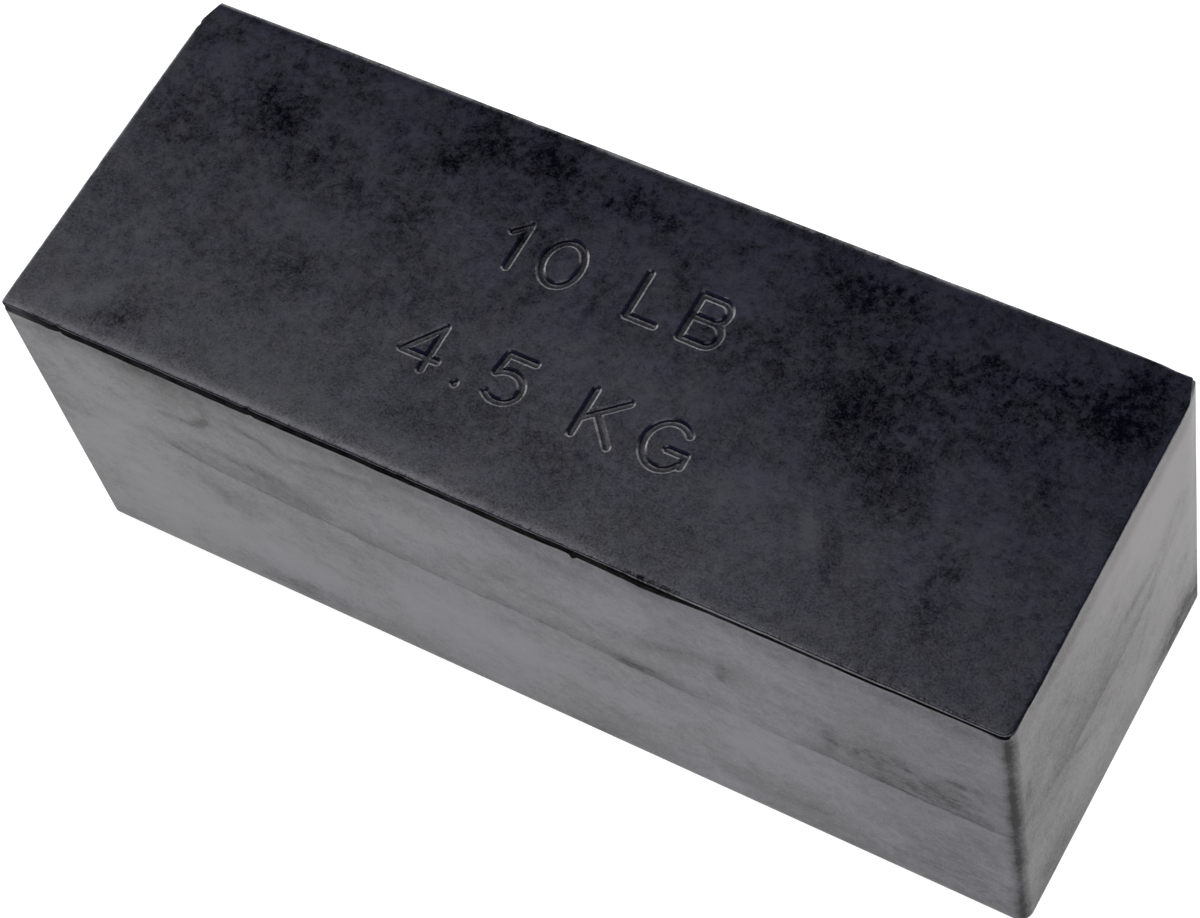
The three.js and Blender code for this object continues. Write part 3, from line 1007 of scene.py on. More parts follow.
STORIES = {
    Side.FRONT: SideStory(
        rim=(
            (0, 0.35, 3.1), (4, 0.35, 3.4), (8, 0.35, 3.5), (10, 0.45, 3.6), (12.5, 0.45, 3.2),
            (16, 0.45, 3.5), (22, 0.45, 3.2), (30, 0.45, 3.6), (60, 0.45, 3.7), (75, 0.45, 3.5),
            (90, 0.45, 3.3), (110, 0.45, 3.1), (120, 0.45, 3.4), (132, 0.45, 3.1), (141, 0.45, 3.4),
            (146, 0.6, 3.7), (150, 0.8, 4.1), (155, 0.9, 3.7), (159, 0.9, 3.2), (163, 0.8, 2.8),
            (170, 0.75, 2.6), (180, 0.75, 2.5), (195, 0.8, 2.4), (210, 0.7, 2.2), (218, 0.7, 1.8),
            (223, 0.6, 1.7), (229, 0.4, 2.2),
        ),
        proud=((0, 0.42), (4, 0.4), (8, 0.36), (10, 0.35), (229, 0.35)),
        roll=(
            (0, 0.15, 1.5), (8, 0.23, 1.75), (75, 0.23, 1.6), (100, 0.2, 1.35), (120, 0.17, 1.2),
            (138, 0.14, 1.1), (146, 0.08, 0.9), (152, 0.03, 0.6), (229, 0.03, 0.5),
        ),
        knit=(
            (0, 55, 0.1), (28, 55, 0.25), (34, 53.5, 0.9), (42, 51.8, 1), (60, 50, 0.85), (75, 48.7, 0.75),
            (100, 47.6, 0.7), (108, 47.3, 0.9), (125, 46.8, 0.85), (135, 45.8, 0.7), (142, 45, 0.9),
            (150, 44.4, 0.8), (160, 44, 0.5), (180, 43.3, 0.6), (190, 43, 1), (222, 43, 0.9), (229, 43, 0.4),
        ),
        smears=patches(
            (46.5, 12, 1.2, 5, 0.5, 8), (44, 18, 4, 1.4, 0.6, -42), (37, 20.5, 6, 1.6, 0.5, -6),
            (56, 13, 5, 1.3, 0.6, 16), (62, 16, 3, 1.1, 0.6, 48), (69, 16, 6, 1.4, 0.5, -14),
            (82, 12, 8, 1.2, 0.5, -12), (53, 29.5, 14, 2.4, 0.5, 3), (47, 33.5, 17, 3.6, 0.25, 5),
            (64, 34, 12, 4, 0.35, 4), (6, 38, 8, 3, 0.4), (114, 28, 3, 4, 0.4, 70),
            (124, 9, 12, 2.5, 0.35, 6), (134, 12, 8, 4, 0.3, -10), (149, 30, 6, 3, 0.3, -12),
            (160, 26, 6, 2.4, 0.35, -20), (165, 29, 1.2, 4, 0.7, 14), (144, 43.5, 8, 2.2, 0.6, 4),
            (205, 38, 20, 7, 0.55, 2), (220, 31, 7, 1.6, 0.35, -16), (188, 37, 1.6, 7, 0.45, 4),
            (52, 84, 12, 4, 0.3, -4), (172, 78, 20, 4, 0.25, 3), (110, 62, 30, 8, -0.3, 2),
            (50, 66, 26, 9, -0.3, 2), (216, 80, 14, 12, 0.25), (28, 62, 14, 14, -0.25),
            (214, 62, 22, 30, 0.42), (18, 42, 20, 26, -0.2), (133, 34, 16, 16, -0.12),
            (148, 22, 30, 9, 0.14, 4), (172, 62, 16, 9, -0.2), (56, 83, 20, 6, 0.3),
            # The thin patches on the top edge at 74 and 194 mm along are painted shade that dims the lip's
            # highlight.
            (3, 2.2, 3.6, 2.6, -0.9), (74, 0.3, 70, 0.5, 0.1), (194, 0.3, 36, 0.45, 0.4),
            (95, 22, 14, 6, -0.3, 4), (20, 12, 14, 7, -0.15), (153, 0.5, 9, 0.9, 1.2),
            (214, 14, 20, 20, 0.3), (20, 84, 20, 8, -0.25),
        ),
    ),
    Side.RIGHT: SideStory(
        rim=(
            (0, 0.3, 1.3), (3, 0.2, 0.7), (8, 0.2, 0.7), (13, 0.3, 0.7), (40, 0.45, 0.95), (60, 0.5, 1.1),
            (83.5, 0.5, 1.1),
        ),
        proud=((0, 0.35), (3, 0.4), (8, 0.45), (13, 0.5), (40, 0.5), (60, 0.48), (83.5, 0.45)),
        roll=((0, 0.12, 0.5), (8, 0.08, 0.4), (14, 0.02, 0.4), (83.5, 0.02, 0.4)),
        knit=(
            (0, 43, 0.3), (18, 40.5, 0.35), (24, 40, 0.6), (45, 40, 0.75), (60, 42.5, 0.8), (70, 49, 0.5),
            (83.5, 54, 0.2),
        ),
        smears=patches(
            # The wide light patches at 64 and 78 mm along are painted light: this end is lighter towards its
            # back.
            (54, 37, 9, 1.8, 0.6, 3), (69, 33, 6, 1.5, 0.5, -48), (4.5, 32, 1.3, 5, 0.5),
            (36, 42, 14, 8, 0.3), (62, 20, 18, 12, -0.4, -20), (78, 36, 22, 34, -0.85),
            (44, 16, 16, 18, -0.3), (40, 66, 18, 8, -0.25), (76, 85, 15, 10, 0.95), (10, 84, 16, 8, 0.4),
            (11, 46, 16, 32, 0.42), (42, 0.3, 60, 0.5, 0.6), (64, 8, 34, 13, -0.5),
            (24, 30, 1.2, 9, 0.3, -30), (30, 58, 12, 1.4, 0.35, 40), (56, 58, 1.6, 12, 0.3, 24),
        ),
    ),
    Side.BACK: SideStory(
        rim=(
            (0, 0.8, 1.4), (30, 0.7, 1.6), (80, 0.6, 2.0), (120, 0.55, 2.3), (160, 0.6, 1.9),
            (200, 0.6, 2.2), (229, 0.5, 2.4),
        ),
        proud=((0, 0.5), (30, 0.6), (200, 0.6), (229, 0.5)),
        roll=(
            (0, 0.04, 0.35), (30, 0.06, 0.35), (55, 0.12, 0.38), (80, 0.17, 0.42), (170, 0.18, 0.44),
            (229, 0.16, 0.5),
        ),
        knit=(
            (0, 54, 0.2), (30, 50, 0.5), (55, 46, 0.9), (80, 44.5, 0.7), (110, 42, 0.4), (130, 41, 0.8),
            (160, 42, 0.9), (190, 46, 0.6), (229, 51, 0.3),
        ),
        smears=patches(
            (52, 36, 16, 5, 0.5, -8), (84, 22, 10, 2, 0.5, 12), (120, 40, 14, 6, 0.45),
            (150, 18, 1.5, 7, 0.5, -14), (166, 40, 16, 5, 0.5, 6), (60, 66, 24, 9, -0.25),
            (150, 68, 26, 8, -0.25, 4), (205, 80, 12, 4, 0.3),
        ),
    ),
    Side.LEFT: SideStory(
        rim=((0, 0.5, 2.4), (20, 0.6, 1.8), (50, 0.6, 2.2), (83.5, 0.5, 2.7)),
        proud=((0, 0.4), (20, 0.5), (50, 0.5), (83.5, 0.42)),
        roll=((0, 0.16, 0.6), (40, 0.2, 0.8), (83.5, 0.2, 1.2)),
        knit=((0, 51, 0.3), (20, 46, 0.8), (40, 44, 0.6), (60, 48, 0.7), (83.5, 55, 0.1)),
        smears=patches(
            (24, 38, 12, 4, 0.5, 10), (56, 34, 10, 3, 0.5, -16), (42, 18, 14, 7, -0.3),
            (62, 72, 10, 8, -0.2),
        ),
    ),
}

# Painted light and shade among these patches: the long light strips on the front edge, at 68 and 76 mm
# The rest are stains and lighter patches in the rubber.
# along, are a painted highlight on the rolled lip. The light patches at 14, 66 and 96 mm along near the
# front are painted light, and the dark ones from 166 to 220 mm along near the back are painted shade.
TOP_SMEARS = patches(
    (27, 20, 8, 6, 0.6, -10), (22, 15, 4, 3, 0.6), (12, 7, 5, 3, 0.5), (69, 15, 3, 2.5, 0.9),
    (80, 8, 12, 4, 0.42), (104, 9, 14, 5, 0.48), (117, 10, 6, 3, 0.35), (94, 24, 6, 4, 0.4),
    (60, 32, 8, 7, 0.25, -20), (96, 34, 20, 8, -0.15), (112, 20, 16, 5, -0.15), (166, 9, 6, 4, 0.4),
    (206, 14, 18, 9, 0.6, 4), (220, 12, 6, 10, 0.5), (176, 36, 16, 8, 0.4, 30), (150, 26, 7, 5, 0.3),
    (203, 60, 4, 14, 0.55, -6), (188, 50, 8, 5, 0.3), (215, 38, 6, 8, 0.3), (24, 74, 5, 6, 0.7, 24),
    (52, 50, 10, 6, 0.2), (120, 66, 12, 4, 0.2), (14, 75, 11, 4, -0.6, -24), (46, 40, 14, 9, -0.3),
    (66, 74, 16, 5, -0.35), (96, 77, 30, 3, -0.3), (138, 72, 20, 6, 0.1), (78, 62, 24, 6, -0.2),
    (68, 83.2, 84, 1.8, -0.6), (76, 83.4, 52, 1.4, -0.35), (176, 60, 2.2, 9, -0.6, -28),
    (181, 64, 3, 9, 0.5, -16), (218, 36, 5, 6, -0.3), (150, 44, 10, 5, -0.2), (140, 6, 12, 3, -0.2),
    (188, 22, 20, 11, 0.4, 6), (168, 7, 10, 5, 0.35), (172, 58, 16, 8, -0.25),
)


@dataclass(frozen=True)
class Nick:
    """A small slip of the trimming knife at the rim, in millimetres, or a nib if inward is below zero."""

    side: Side
    along: float
    half_width: float
    inward: float
    deeper: float = 0.0
    raised: float = 0.0


NICKS = (
    Nick(Side.FRONT, 8.2, 1.0, 0.22, 0.3, 0.3),
    Nick(Side.FRONT, 13.4, 0.5, 0.3, 0.0, 0.35),
    Nick(Side.FRONT, 60.4, 0.6, 0.25, 0.1, 0.3),
    Nick(Side.FRONT, 97, 0.9, 0.08, 0.15, 0.1),
    Nick(Side.FRONT, 135.3, 0.6, -0.3, 0.6, 0.35),
    Nick(Side.FRONT, 178, 0.8, 0.06, 0.1, 0.0),
    Nick(Side.RIGHT, 52, 0.8, 0.1, 0.15, 0.0),
    Nick(Side.BACK, 2.0, 6.0, 0.45, 0.1, 0.0),
    Nick(Side.BACK, 64, 0.8, 0.1, 0.3, 0.2),
    Nick(Side.BACK, 148, 0.9, 0.12, 0.4, 0.1),
    Nick(Side.BACK, 201, 1.0, 0.1, 0.2, 0.2),
    Nick(Side.LEFT, 6.2, 0.5, 0.3, 0.2, 0.4),
    Nick(Side.LEFT, 47, 0.8, 0.1, 0.3, 0.1),
)


OUTWARD = np.array([(0, -1), (1, 0), (0, 1), (-1, 0)], float)
TRAVEL = np.roll(OUTWARD, -1, axis=0)


def eased(share: np.ndarray) -> np.ndarray:
    """Lets shares between 0 and 1 start and end gently."""
    return share * share * (3 - 2 * share)


@dataclass
class Stations:
    """Places round the outline, at which every ring of a jacket has a corner.

    Attributes:
        sides: The number of the side that each place belongs to.
        alongs: How far along that side it lies, in metres.
        shares: How far along that side's straight stretch it lies, from 0 to 1.
        corners: The number of the corner that it lies on, or of the side's own corner.
        on_arc: Whether it lies on a rounded corner.
        normals: The way out of the outline.
        walk: How far round the outline it lies, in metres.
        around: The whole way round.
    """

    sides: np.ndarray
    alongs: np.ndarray
    shares: np.ndarray
    corners: np.ndarray
    on_arc: np.ndarray
    normals: np.ndarray
    walk: np.ndarray
    around: float

    def __len__(self) -> int:
        """Returns how many places there are."""
        return len(self.sides)

    def read(self, tables: dict[Side, Sequence[Sequence[float]]], column: int) -> np.ndarray:
        """Reads one column of each side's table at every place, and takes it from millimetres to metres."""
        values = np.zeros(len(self))
        for side, table in tables.items():
            here = self.sides == side.value
            rows = np.array(table, float)
            values[here] = np.interp(self.alongs[here] / MM, rows[:, 0], rows[:, column])
        return values * MM


@dataclass
class Outline:
    """An outline from above, walked counter-clockwise from the front left corner.

    Attributes:
        length: Its size along X.
        width: Its size along Y.
        radii: Its corners' radii: front right, back right, back left and front left.
        spacing: How far apart its places lie.
        fine: How far apart they lie at a nick, unless it is wide.
        nick_steps: How many places half a wide nick has.
        nick_span: How far past a nick the places stay close, as a share of half its width.
        least_share: How near two places may come, as a share of the fine spacing.
        arc_steps: How many places each corner has.
    """

    length: float
    width: float
    radii: tuple[float, float, float, float]
    spacing: float = 1.15 * MM
    fine: float = 0.24 * MM
    nick_steps: int = 5
    nick_span: float = 2.2
    least_share: float = 0.6
    arc_steps: int = 8

    def side_starts(self) -> np.ndarray:
        """Returns how far round each side starts, and the whole way round."""
        return np.concatenate([[0], np.cumsum([self.length, self.width] * 2)])

    def spread(self, side: Side, nicks: Iterable[Nick]) -> np.ndarray:
        """Spaces places along one straight stretch, closer together at its nicks.

        Args:
            side: The side.
            nicks: The nicks on the side.

        Returns:
            Shares of the stretch, from 0 up to but not with 1.
        """
        start = self.radii[side.value - 1]
        stretch = np.diff(self.side_starts())[side.value] - start - self.radii[side.value]
        places = list(np.linspace(0, stretch, round(stretch / self.spacing), endpoint=False))
        for nick in nicks:
            fine = max(self.fine, nick.half_width * MM / self.nick_steps)
            steps = math.ceil(self.nick_span * nick.half_width * MM / fine)
            places += [nick.along * MM - start + k * fine for k in range(-steps, steps + 1)]
        least = self.least_share * self.fine
        kept = [0.0]
        for place in sorted(places):
            if place - kept[-1] > least and place < stretch - least:
                kept.append(place)
        return np.array(kept) / stretch

    def stations(self) -> Stations:
        """Walks the outline.

        Returns:
            All its places.
        """
        rows = []
        starts = self.side_starts()
        sizes = np.diff(starts)
        for side in Side:
            n = side.value
            start, radius = self.radii[n - 1], self.radii[n]
            stretch = sizes[n] - start - radius
            for share in self.spread(side, [nick for nick in NICKS if nick.side == side]):
                rows.append((n, start + share * stretch, share, n, 0, *OUTWARD[n]))
            for step in range(self.arc_steps):
                turn = step / self.arc_steps * math.pi / 2
                out = OUTWARD[n] * math.cos(turn) + TRAVEL[n] * math.sin(turn)
                if turn <= math.pi / 4:
                    rows.append((n, sizes[n] - radius * (1 - math.sin(turn)), 1.0, n, 1, *out))
                else:
                    rows.append(((n + 1) % 4, radius * (1 - math.cos(turn)), 1.0, n, 1, *out))
        sides, alongs, shares, corners, on_arc, *normals = np.array(rows).T
        sides, corners = sides.astype(int), corners.astype(int)
        walk = starts[sides] + alongs
        return Stations(sides, alongs, shares, corners, on_arc > 0, np.stack(normals, 1), walk, starts[-1])

    def ring(self, stations: Stations, out: Any, height: Any, inset: float = 0.0,
             grow: float = 0.7) -> np.ndarray:
        """Lays one ring of points.

        Args:
            stations: The places.
            out: How far the points are pushed out along their normals.
            height: How high they lie.
            inset: How much smaller the whole ring is on each side.
            grow: How much of the inset its corners' radii grow by.

        Returns:
            The points.
        """
        half = np.array([self.length, self.width]) / 2 - inset
        radii = (np.array(self.radii) + grow * inset)[:, None]
        corners = (OUTWARD + TRAVEL) * half
        first = np.roll(corners, 1, axis=0) + TRAVEL * np.roll(radii, 1, axis=0)
        last = corners - TRAVEL * radii
        centres = corners - (OUTWARD + TRAVEL) * radii
        corner = stations.corners
        straight = first[corner] + (last - first)[corner] * stations.shares[:, None]
        arc = centres[corner] + stations.normals * radii[corner]
        flat = np.where(stations.on_arc[:, None], arc, straight)
        flat = flat + stations.normals * np.broadcast_to(out, len(stations))[:, None]
        return np.column_stack([flat, np.broadcast_to(height, len(stations))])


@dataclass(frozen=True)
class Waver:
    """An unsteadiness of the trimming knife: how far it goes, over what length, and its seed."""

    amount: float
    pitch: float
    seed: int

    def along(self, stations: Stations) -> np.ndarray:
        """Returns a gently changing distance at each place of a closed walk."""
        knots = round(stations.around / self.pitch)
        values = np.random.default_rng(self.seed).uniform(-1, 1, knots)
        values = np.append(values, values[0])
        place = stations.walk / stations.around * knots % knots
        low = np.floor(place).astype(int)
        share = eased(place - low)
        return self.amount * (values[low] * (1 - share) + values[low + 1] * share)


class JacketMesh:
    """Gathers a jacket's points, faces and the numbers that its materials read."""

    INSIDE_ONLY = 1
    WELD_MM = 1e-5

    def __init__(self) -> None:
        """Starts with nothing."""
        self.points: list[np.ndarray] = []
        self.outward: list[np.ndarray] = []
        self.faces: list[tuple[int, ...]] = []
        self.zones: list[int] = []
        self.count = 0

    def add(self, points: np.ndarray, outward: np.ndarray) -> np.ndarray:
        """Adds points and the way out of the brick at each, and returns their numbers."""
        first = self.count
        self.points.append(points)
        self.outward.append(np.broadcast_to(outward, points.shape))
        self.count += len(points)
        return np.arange(first, self.count)

    def join(self, rings: Sequence[np.ndarray], zone: Zone, inward: bool = False) -> None:
        """Joins each ring to the next with four-sided faces.

        Args:
            rings: The rings' numbers, from the top down.
            zone: What the faces were left by.
            inward: Whether they look in instead of out.
        """
        for upper, lower in zip(rings[:-1], rings[1:]):
            if inward:
                upper, lower = lower, upper
            quads = np.stack([upper, lower, np.roll(lower, -1), np.roll(upper, -1)], 1)
            self.faces += [tuple(quad) for quad in quads.tolist()]
            self.zones += [zone.value] * len(quads)

    def cap(self, ring: np.ndarray, inner: np.ndarray, edges: Sequence[tuple[int, int]], height: float,
            up: bool, zone: Zone) -> None:
        """Closes a ring with a flat net of triangles.

        Args:
            ring: The ring's numbers.
            inner: Points inside it, seen from above.
            edges: Pairs of those points that stay edges.
            height: The inner points' height.
            up: Whether the face looks up.
            zone: What the face was left by.
        """
        border = np.concatenate(self.points)[ring][:, :2]
        flat = [Vector(point) for point in np.concatenate([border, inner]) / MM]
        shift = len(ring)
        kept = [(a + shift, b + shift) for a, b in edges]
        found, _, triangles, origins, _, _ = delaunay_2d_cdt(
            flat, kept, [list(range(shift))], self.INSIDE_ONLY, self.WELD_MM)
        numbers = []
        fresh = []
        for place, origin in zip(found, origins):
            on_ring = [i for i in origin if i < shift]
            if on_ring:
                numbers.append(int(ring[on_ring[0]]))
            else:
                numbers.append(self.count + len(fresh))
                fresh.append((place.x * MM, place.y * MM, height))
        if fresh:
            self.add(np.array(fresh), np.array([0, 0, 1.0 if up else -1.0]))
        for a, b, c in triangles:
            turned = (found[b] - found[a]).cross(found[c] - found[a]) > 0
            order = (a, b, c) if turned == up else (a, c, b)
            self.faces.append(tuple(numbers[i] for i in order))
            self.zones.append(zone.value)

    def arrays(self) -> tuple[np.ndarray, np.ndarray]:
        """Returns all the points and the ways out at them."""
        return np.concatenate(self.points), np.concatenate(self.outward)

    def build(self, name: str, numbers: dict[str, np.ndarray],
              finishes: dict[Zone, bpy.types.Material]) -> bpy.types.Object:
        """Makes the mesh object.

        Args:
            name: The object's name.
            numbers: Values of the points that the materials read, by name.
            finishes: The zones' materials.

        Returns:
            The object.
        """
        points, outward = self.arrays()
        mesh = bpy.data.meshes.new(name)
        mesh.from_pydata(points.tolist(), [], self.faces)
        mesh.attributes.new("outward", "FLOAT_VECTOR", "POINT").data.foreach_set("vector", outward.ravel())
        mesh.attributes.new("zone", "INT", "FACE").data.foreach_set("value", self.zones)
        for key, values in numbers.items():
            made = mesh.attributes.new(key, "FLOAT", "POINT")
            made.data.foreach_set("value", np.asarray(values, np.float32))
        for finish in finishes.values():
            mesh.materials.append(finish)
        return set_out(name, mesh)


def set_out(name: str, data: bpy.types.ID) -> bpy.types.Object:
    """Makes an object of a mesh, a lamp or a camera and puts it in the scene."""
    made = bpy.data.objects.new(name, data)
    bpy.context.scene.collection.objects.link(made)
    return made


def hand_over(piece: bpy.types.Object, node: str, sharp_angle: float) -> None:
    """Smooths a piece's faces up to its sharp edges and hands it to the frame.

    Args:
        piece: The piece.
        node: The CAD node that it replaces.
        sharp_angle: The least angle of a sharp edge.
    """
    piece.data.shade_smooth()
    piece.data.set_sharp_from_angle(angle=sharp_angle)
    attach(piece, BODY)
    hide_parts(node)


def hex_points(half_length: float, half_width: float, pitch: float) -> np.ndarray:
    """Fills a rectangle round the origin with evenly staggered points."""
    points = []
    for i, y in enumerate(np.arange(-half_width, half_width, pitch * math.sqrt(0.75))):
        xs = np.arange(-half_length + (i % 2) * pitch / 2, half_length, pitch)
        points.append(np.column_stack([xs, np.full(len(xs), y)]))
    return np.concatenate(points)


@dataclass
class Jacket(ABC):
    """What both rubber jackets share: the outline, the pocket for the core and the joint between them.

    The walls spread a little below the rim. Their back right corner shrank as the rubber cured. The fields
    for the dark strips on the upright edges paint shade there, darkest on the front right edge.
    """

    name: str
    finishes: dict[Zone, bpy.types.Material]
    skin: ShapeTree
    length: float
    width: float
    height: float
    joint: float
    pocket_low: Vector
    pocket_high: Vector
    slot: str = "black_rubber"
    rim_proud: float = 0.35 * MM
    wall_radii: tuple[float, float, float, float] = (2.5 * MM, 0.4 * MM, 0.5 * MM, 0.25 * MM)
    wall_rings: int = 34
    joint_shares: tuple[float, ...] = (0.33, 0.67)
    pocket_shares: tuple[float, ...] = (0.5, 1.0)
    pocket_radius: float = 0.05 * MM
    pocket_border: float = 2 * MM
    pocket_pitch: float = 4 * MM
    spread: float = 0.5 * MM
    spread_start: float = 2.6 * MM
    spread_reach: float = 5 * MM
    corner_length: float = 9 * MM
    corner_hold: float = 1.2
    shrink: float = 1.5 * MM
    shrink_width: float = 3.6 * MM
    shrink_reach: float = 9 * MM
    wave_height: float = 0.16 * MM
    wave_length: float = 55 * MM
    ripple_height: float = 0.03 * MM
    ripple_length: float = 9 * MM
    skin_seed: float = 5.0
    marked_depth: float = 1 * MM
    sharp_angle: float = math.radians(22)
    level_least: float = 0.5
    facing_least: float = math.sqrt(0.5) - 1e-6
    # These set the painted shade along the rounded upright edges.
    painted_edge_width: float = 4.4 * MM
    painted_edge_past: float = 3.6 * MM
    painted_edge_power: int = 3
    painted_edge_loss: float = 0.28
    painted_edge_end: float = 0.8 * MM
    painted_edge_start: float = 1.6 * MM
    painted_edge_fade: float = 1.4 * MM
    painted_edge_strengths: tuple[float, float, float, float] = (0.15, 0.3, 1.0, 0.25)
    outline: Outline = field(init=False)
    stations: Stations = field(init=False)
    mesh: JacketMesh = field(init=False)

    def __post_init__(self) -> None:
        """Walks the outline."""
        length, width = self.length - 2 * self.rim_proud, self.width - 2 * self.rim_proud
        self.outline = Outline(length, width, self.wall_radii)
        self.stations = self.outline.stations()
        self.mesh = JacketMesh()

    def ring(self, out: Any, height: Any, lean: Any = 0.0, inset: float = 0.0,
             outline: Outline | None = None) -> np.ndarray:
        """Adds a ring and returns its numbers.

        Args:
            out: How far it stands out of the walls.
            height: How high it lies.
            lean: How far the way out is tipped up, from 0 for level to 1 for straight up.
            inset: How much smaller the whole ring is on each side.
            outline: Its outline, where it isn't the walls' own.

        Returns:
            The numbers of its points.
        """
        level = np.column_stack([self.stations.normals, np.zeros(len(self.stations))])
        way = level * (1 - lean) + np.array([0, 0, 1.0]) * lean
        way = way / np.linalg.norm(way, axis=1)[:, None]
        return self.mesh.add((outline or self.outline).ring(self.stations, out, height, inset), way)

    def corner_spread(self) -> np.ndarray:
        """Works out how far the walls stand out right under the rim, which is only near the corners."""
        flat = np.abs(self.outline.ring(self.stations, 0.0, 0.0)[:, :2])
        gap = np.linalg.norm(flat - np.array([self.length, self.width]) / 2, axis=1)
        return self.spread * np.clip(self.corner_hold - gap / self.corner_length, 0, 1)

    def wall(self, height: Any) -> np.ndarray:
        """Adds a ring of the walls and returns its numbers."""
        share = np.clip((self.height - self.spread_start - height) / self.spread_reach, 0, 1)
        first = self.corner_spread()
        return self.ring(first + (self.spread - first) * eased(share), height)

    def walls(self, start: Any, end: float) -> list[np.ndarray]:
        """Adds the rings of the walls from one height, which isn't added, down to another."""
        count = self.wall_rings
        return [self.wall(start + (end - start) * k / count) for k in range(1, count + 1)]

    def shrunk(self, points: np.ndarray) -> np.ndarray:
        """Draws the back right corner in, most at the top, as the rubber shrank there.

        Args:
            points: Points of the jacket.

        Returns:
            The same points where they ended up.
        """
        x, y, z = points.T
        across = np.clip((x - self.length / 2 + self.shrink_reach) / self.shrink_reach, 0, 1)
        back = np.exp(-((self.width / 2 - y) / self.shrink_width) ** 2)
        return np.column_stack([x - self.shrink * eased(across) * back * z / self.height, y, z])

    def pocket_ring(self, height: float) -> np.ndarray:
        """Adds a ring of the pocket's own outline, which the bar's square ends leave sharp."""
        size = self.pocket_high - self.pocket_low
        inner = Outline(size.x, size.y, (self.pocket_radius,) * 4)
        return self.mesh.add(inner.ring(self.stations, 0.0, height), np.zeros(3))

    def hollow(self, joint_ring: np.ndarray, roof: float, up: bool) -> None:
        """Closes the jacket over its pocket, from the outer edge of the joint inwards.

        Args:
            joint_ring: The ring where the wall meets the joint.
            roof: The height of the pocket's closed end.
            up: Whether that end looks up.
        """
        mouth = self.pocket_ring(self.joint)
        points, _ = self.mesh.arrays()
        rings = [joint_ring]
        for share in self.joint_shares:
            between = points[joint_ring] * (1 - share) + points[mouth] * share
            rings.append(self.mesh.add(between, np.zeros(3)))
        rings.append(mouth)
        for share in self.pocket_shares:
            rings.append(self.pocket_ring(self.joint + (roof - self.joint) * share))
        self.mesh.join(rings, Zone.HIDDEN, inward=up)
        half = np.array((self.pocket_high - self.pocket_low).xy) / 2 - self.pocket_border
        self.mesh.cap(rings[-1], hex_points(*half, self.pocket_pitch), [], roof, up, Zone.HIDDEN)

    def worn(self, points: np.ndarray, on_side: np.ndarray) -> np.ndarray:
        """Works out the painted shade along the rounded upright edges.

        Args:
            points: Points of the jacket.
            on_side: Whether each belongs to a side.

        Returns:
            The wear at each, from 0 to 1.
        """
        half = np.array([self.length, self.width]) / 2 - self.rim_proud
        below = self.height - points[:, 2]
        past = (np.abs(points[:, 0]) - half[0]) - (np.abs(points[:, 1]) - half[1])
        rise = np.clip(1 + (past + self.painted_edge_end) / self.painted_edge_width, 0, 1)
        fall = np.clip(1 - (past + self.painted_edge_end / 2) / self.painted_edge_past, 0, 1)
        strengths = np.array(self.painted_edge_strengths)[(points[:, 0] > 0) * 2 + (points[:, 1] > 0)]
        starting = np.clip((below - self.painted_edge_start) / self.painted_edge_fade, 0, 1)
        ending = 1 - self.painted_edge_loss * below / self.height
        return rise ** self.painted_edge_power * fall * on_side * strengths * starting * ending

    def numbers(self) -> dict[str, np.ndarray]:
        """Works out what the materials read at each point.

        Returns:
            The height above the knit line, how plain that line is, how dark or light the patches of stains
            and painted light are, the painted shade on the upright edges and whether the point belongs to
            the face that takes the marks, by name.
        """
        points, outward = self.mesh.arrays()
        half = np.array([self.length, self.width]) / 2 - self.rim_proud
        alongs = {side: points[:, :2] @ TRAVEL[side.value] + half[side.value % 2] for side in Side}
        below = self.height - points[:, 2]
        # The patches' values hold stains, and in places painted light and shade.
        above, force, stain = np.ones(len(points)), np.zeros(len(points)), np.zeros(len(points))
        on_side = np.linalg.norm(outward[:, :2], axis=1) > self.level_least
        for side, story in STORIES.items():
            here = on_side & (outward[:, :2] @ OUTWARD[side.value] >= self.facing_least)
            along = alongs[side][here]
            where, height, plainness = np.array(story.knit, float).T
            above[here] = points[here, 2] - np.interp(along / MM, where, height) * MM
            force[here] = np.interp(along / MM, where, plainness)
            for smear in story.smears:
                stain[here] += smear.shade(along, below[here])
        on_top = outward[:, 2] > self.level_least
        for smear in TOP_SMEARS:
            stain[on_top] += smear.shade(alongs[Side.FRONT][on_top], alongs[Side.LEFT][on_top])
        marked = (below < self.marked_depth).astype(float)
        return {
            "above_knit": above, "knit_force": force, "stain": stain, "worn": self.worn(points, on_side),
            "face_share": marked,
        }

    @abstractmethod
    def shape(self) -> None:
        """Adds all the rings and faces."""

    def dress(self, piece: bpy.types.Object) -> None:
        """Runs the skin tree, which gives each zone its material."""
        values: dict[str, Any] = {
            "Wave Height": self.wave_height, "Wave Length": self.wave_length,
            "Ripple Height": self.ripple_height, "Ripple Length": self.ripple_length, "Seed": self.skin_seed,
        }
        values.update({zone.name.title(): finish for zone, finish in self.finishes.items()})
        self.skin.apply(piece, values)

    def build(self) -> bpy.types.Object:
        """Builds, dresses and hands over the jacket.

        Returns:
            The finished piece.
        """
        self.shape()
        self.mesh.points = [self.shrunk(points) for points in self.mesh.points]
        piece = self.mesh.build(f"{self.name}_rubber", self.numbers(), self.finishes)
        self.dress(piece)
        hand_over(piece, self.name, self.sharp_angle)
        return piece


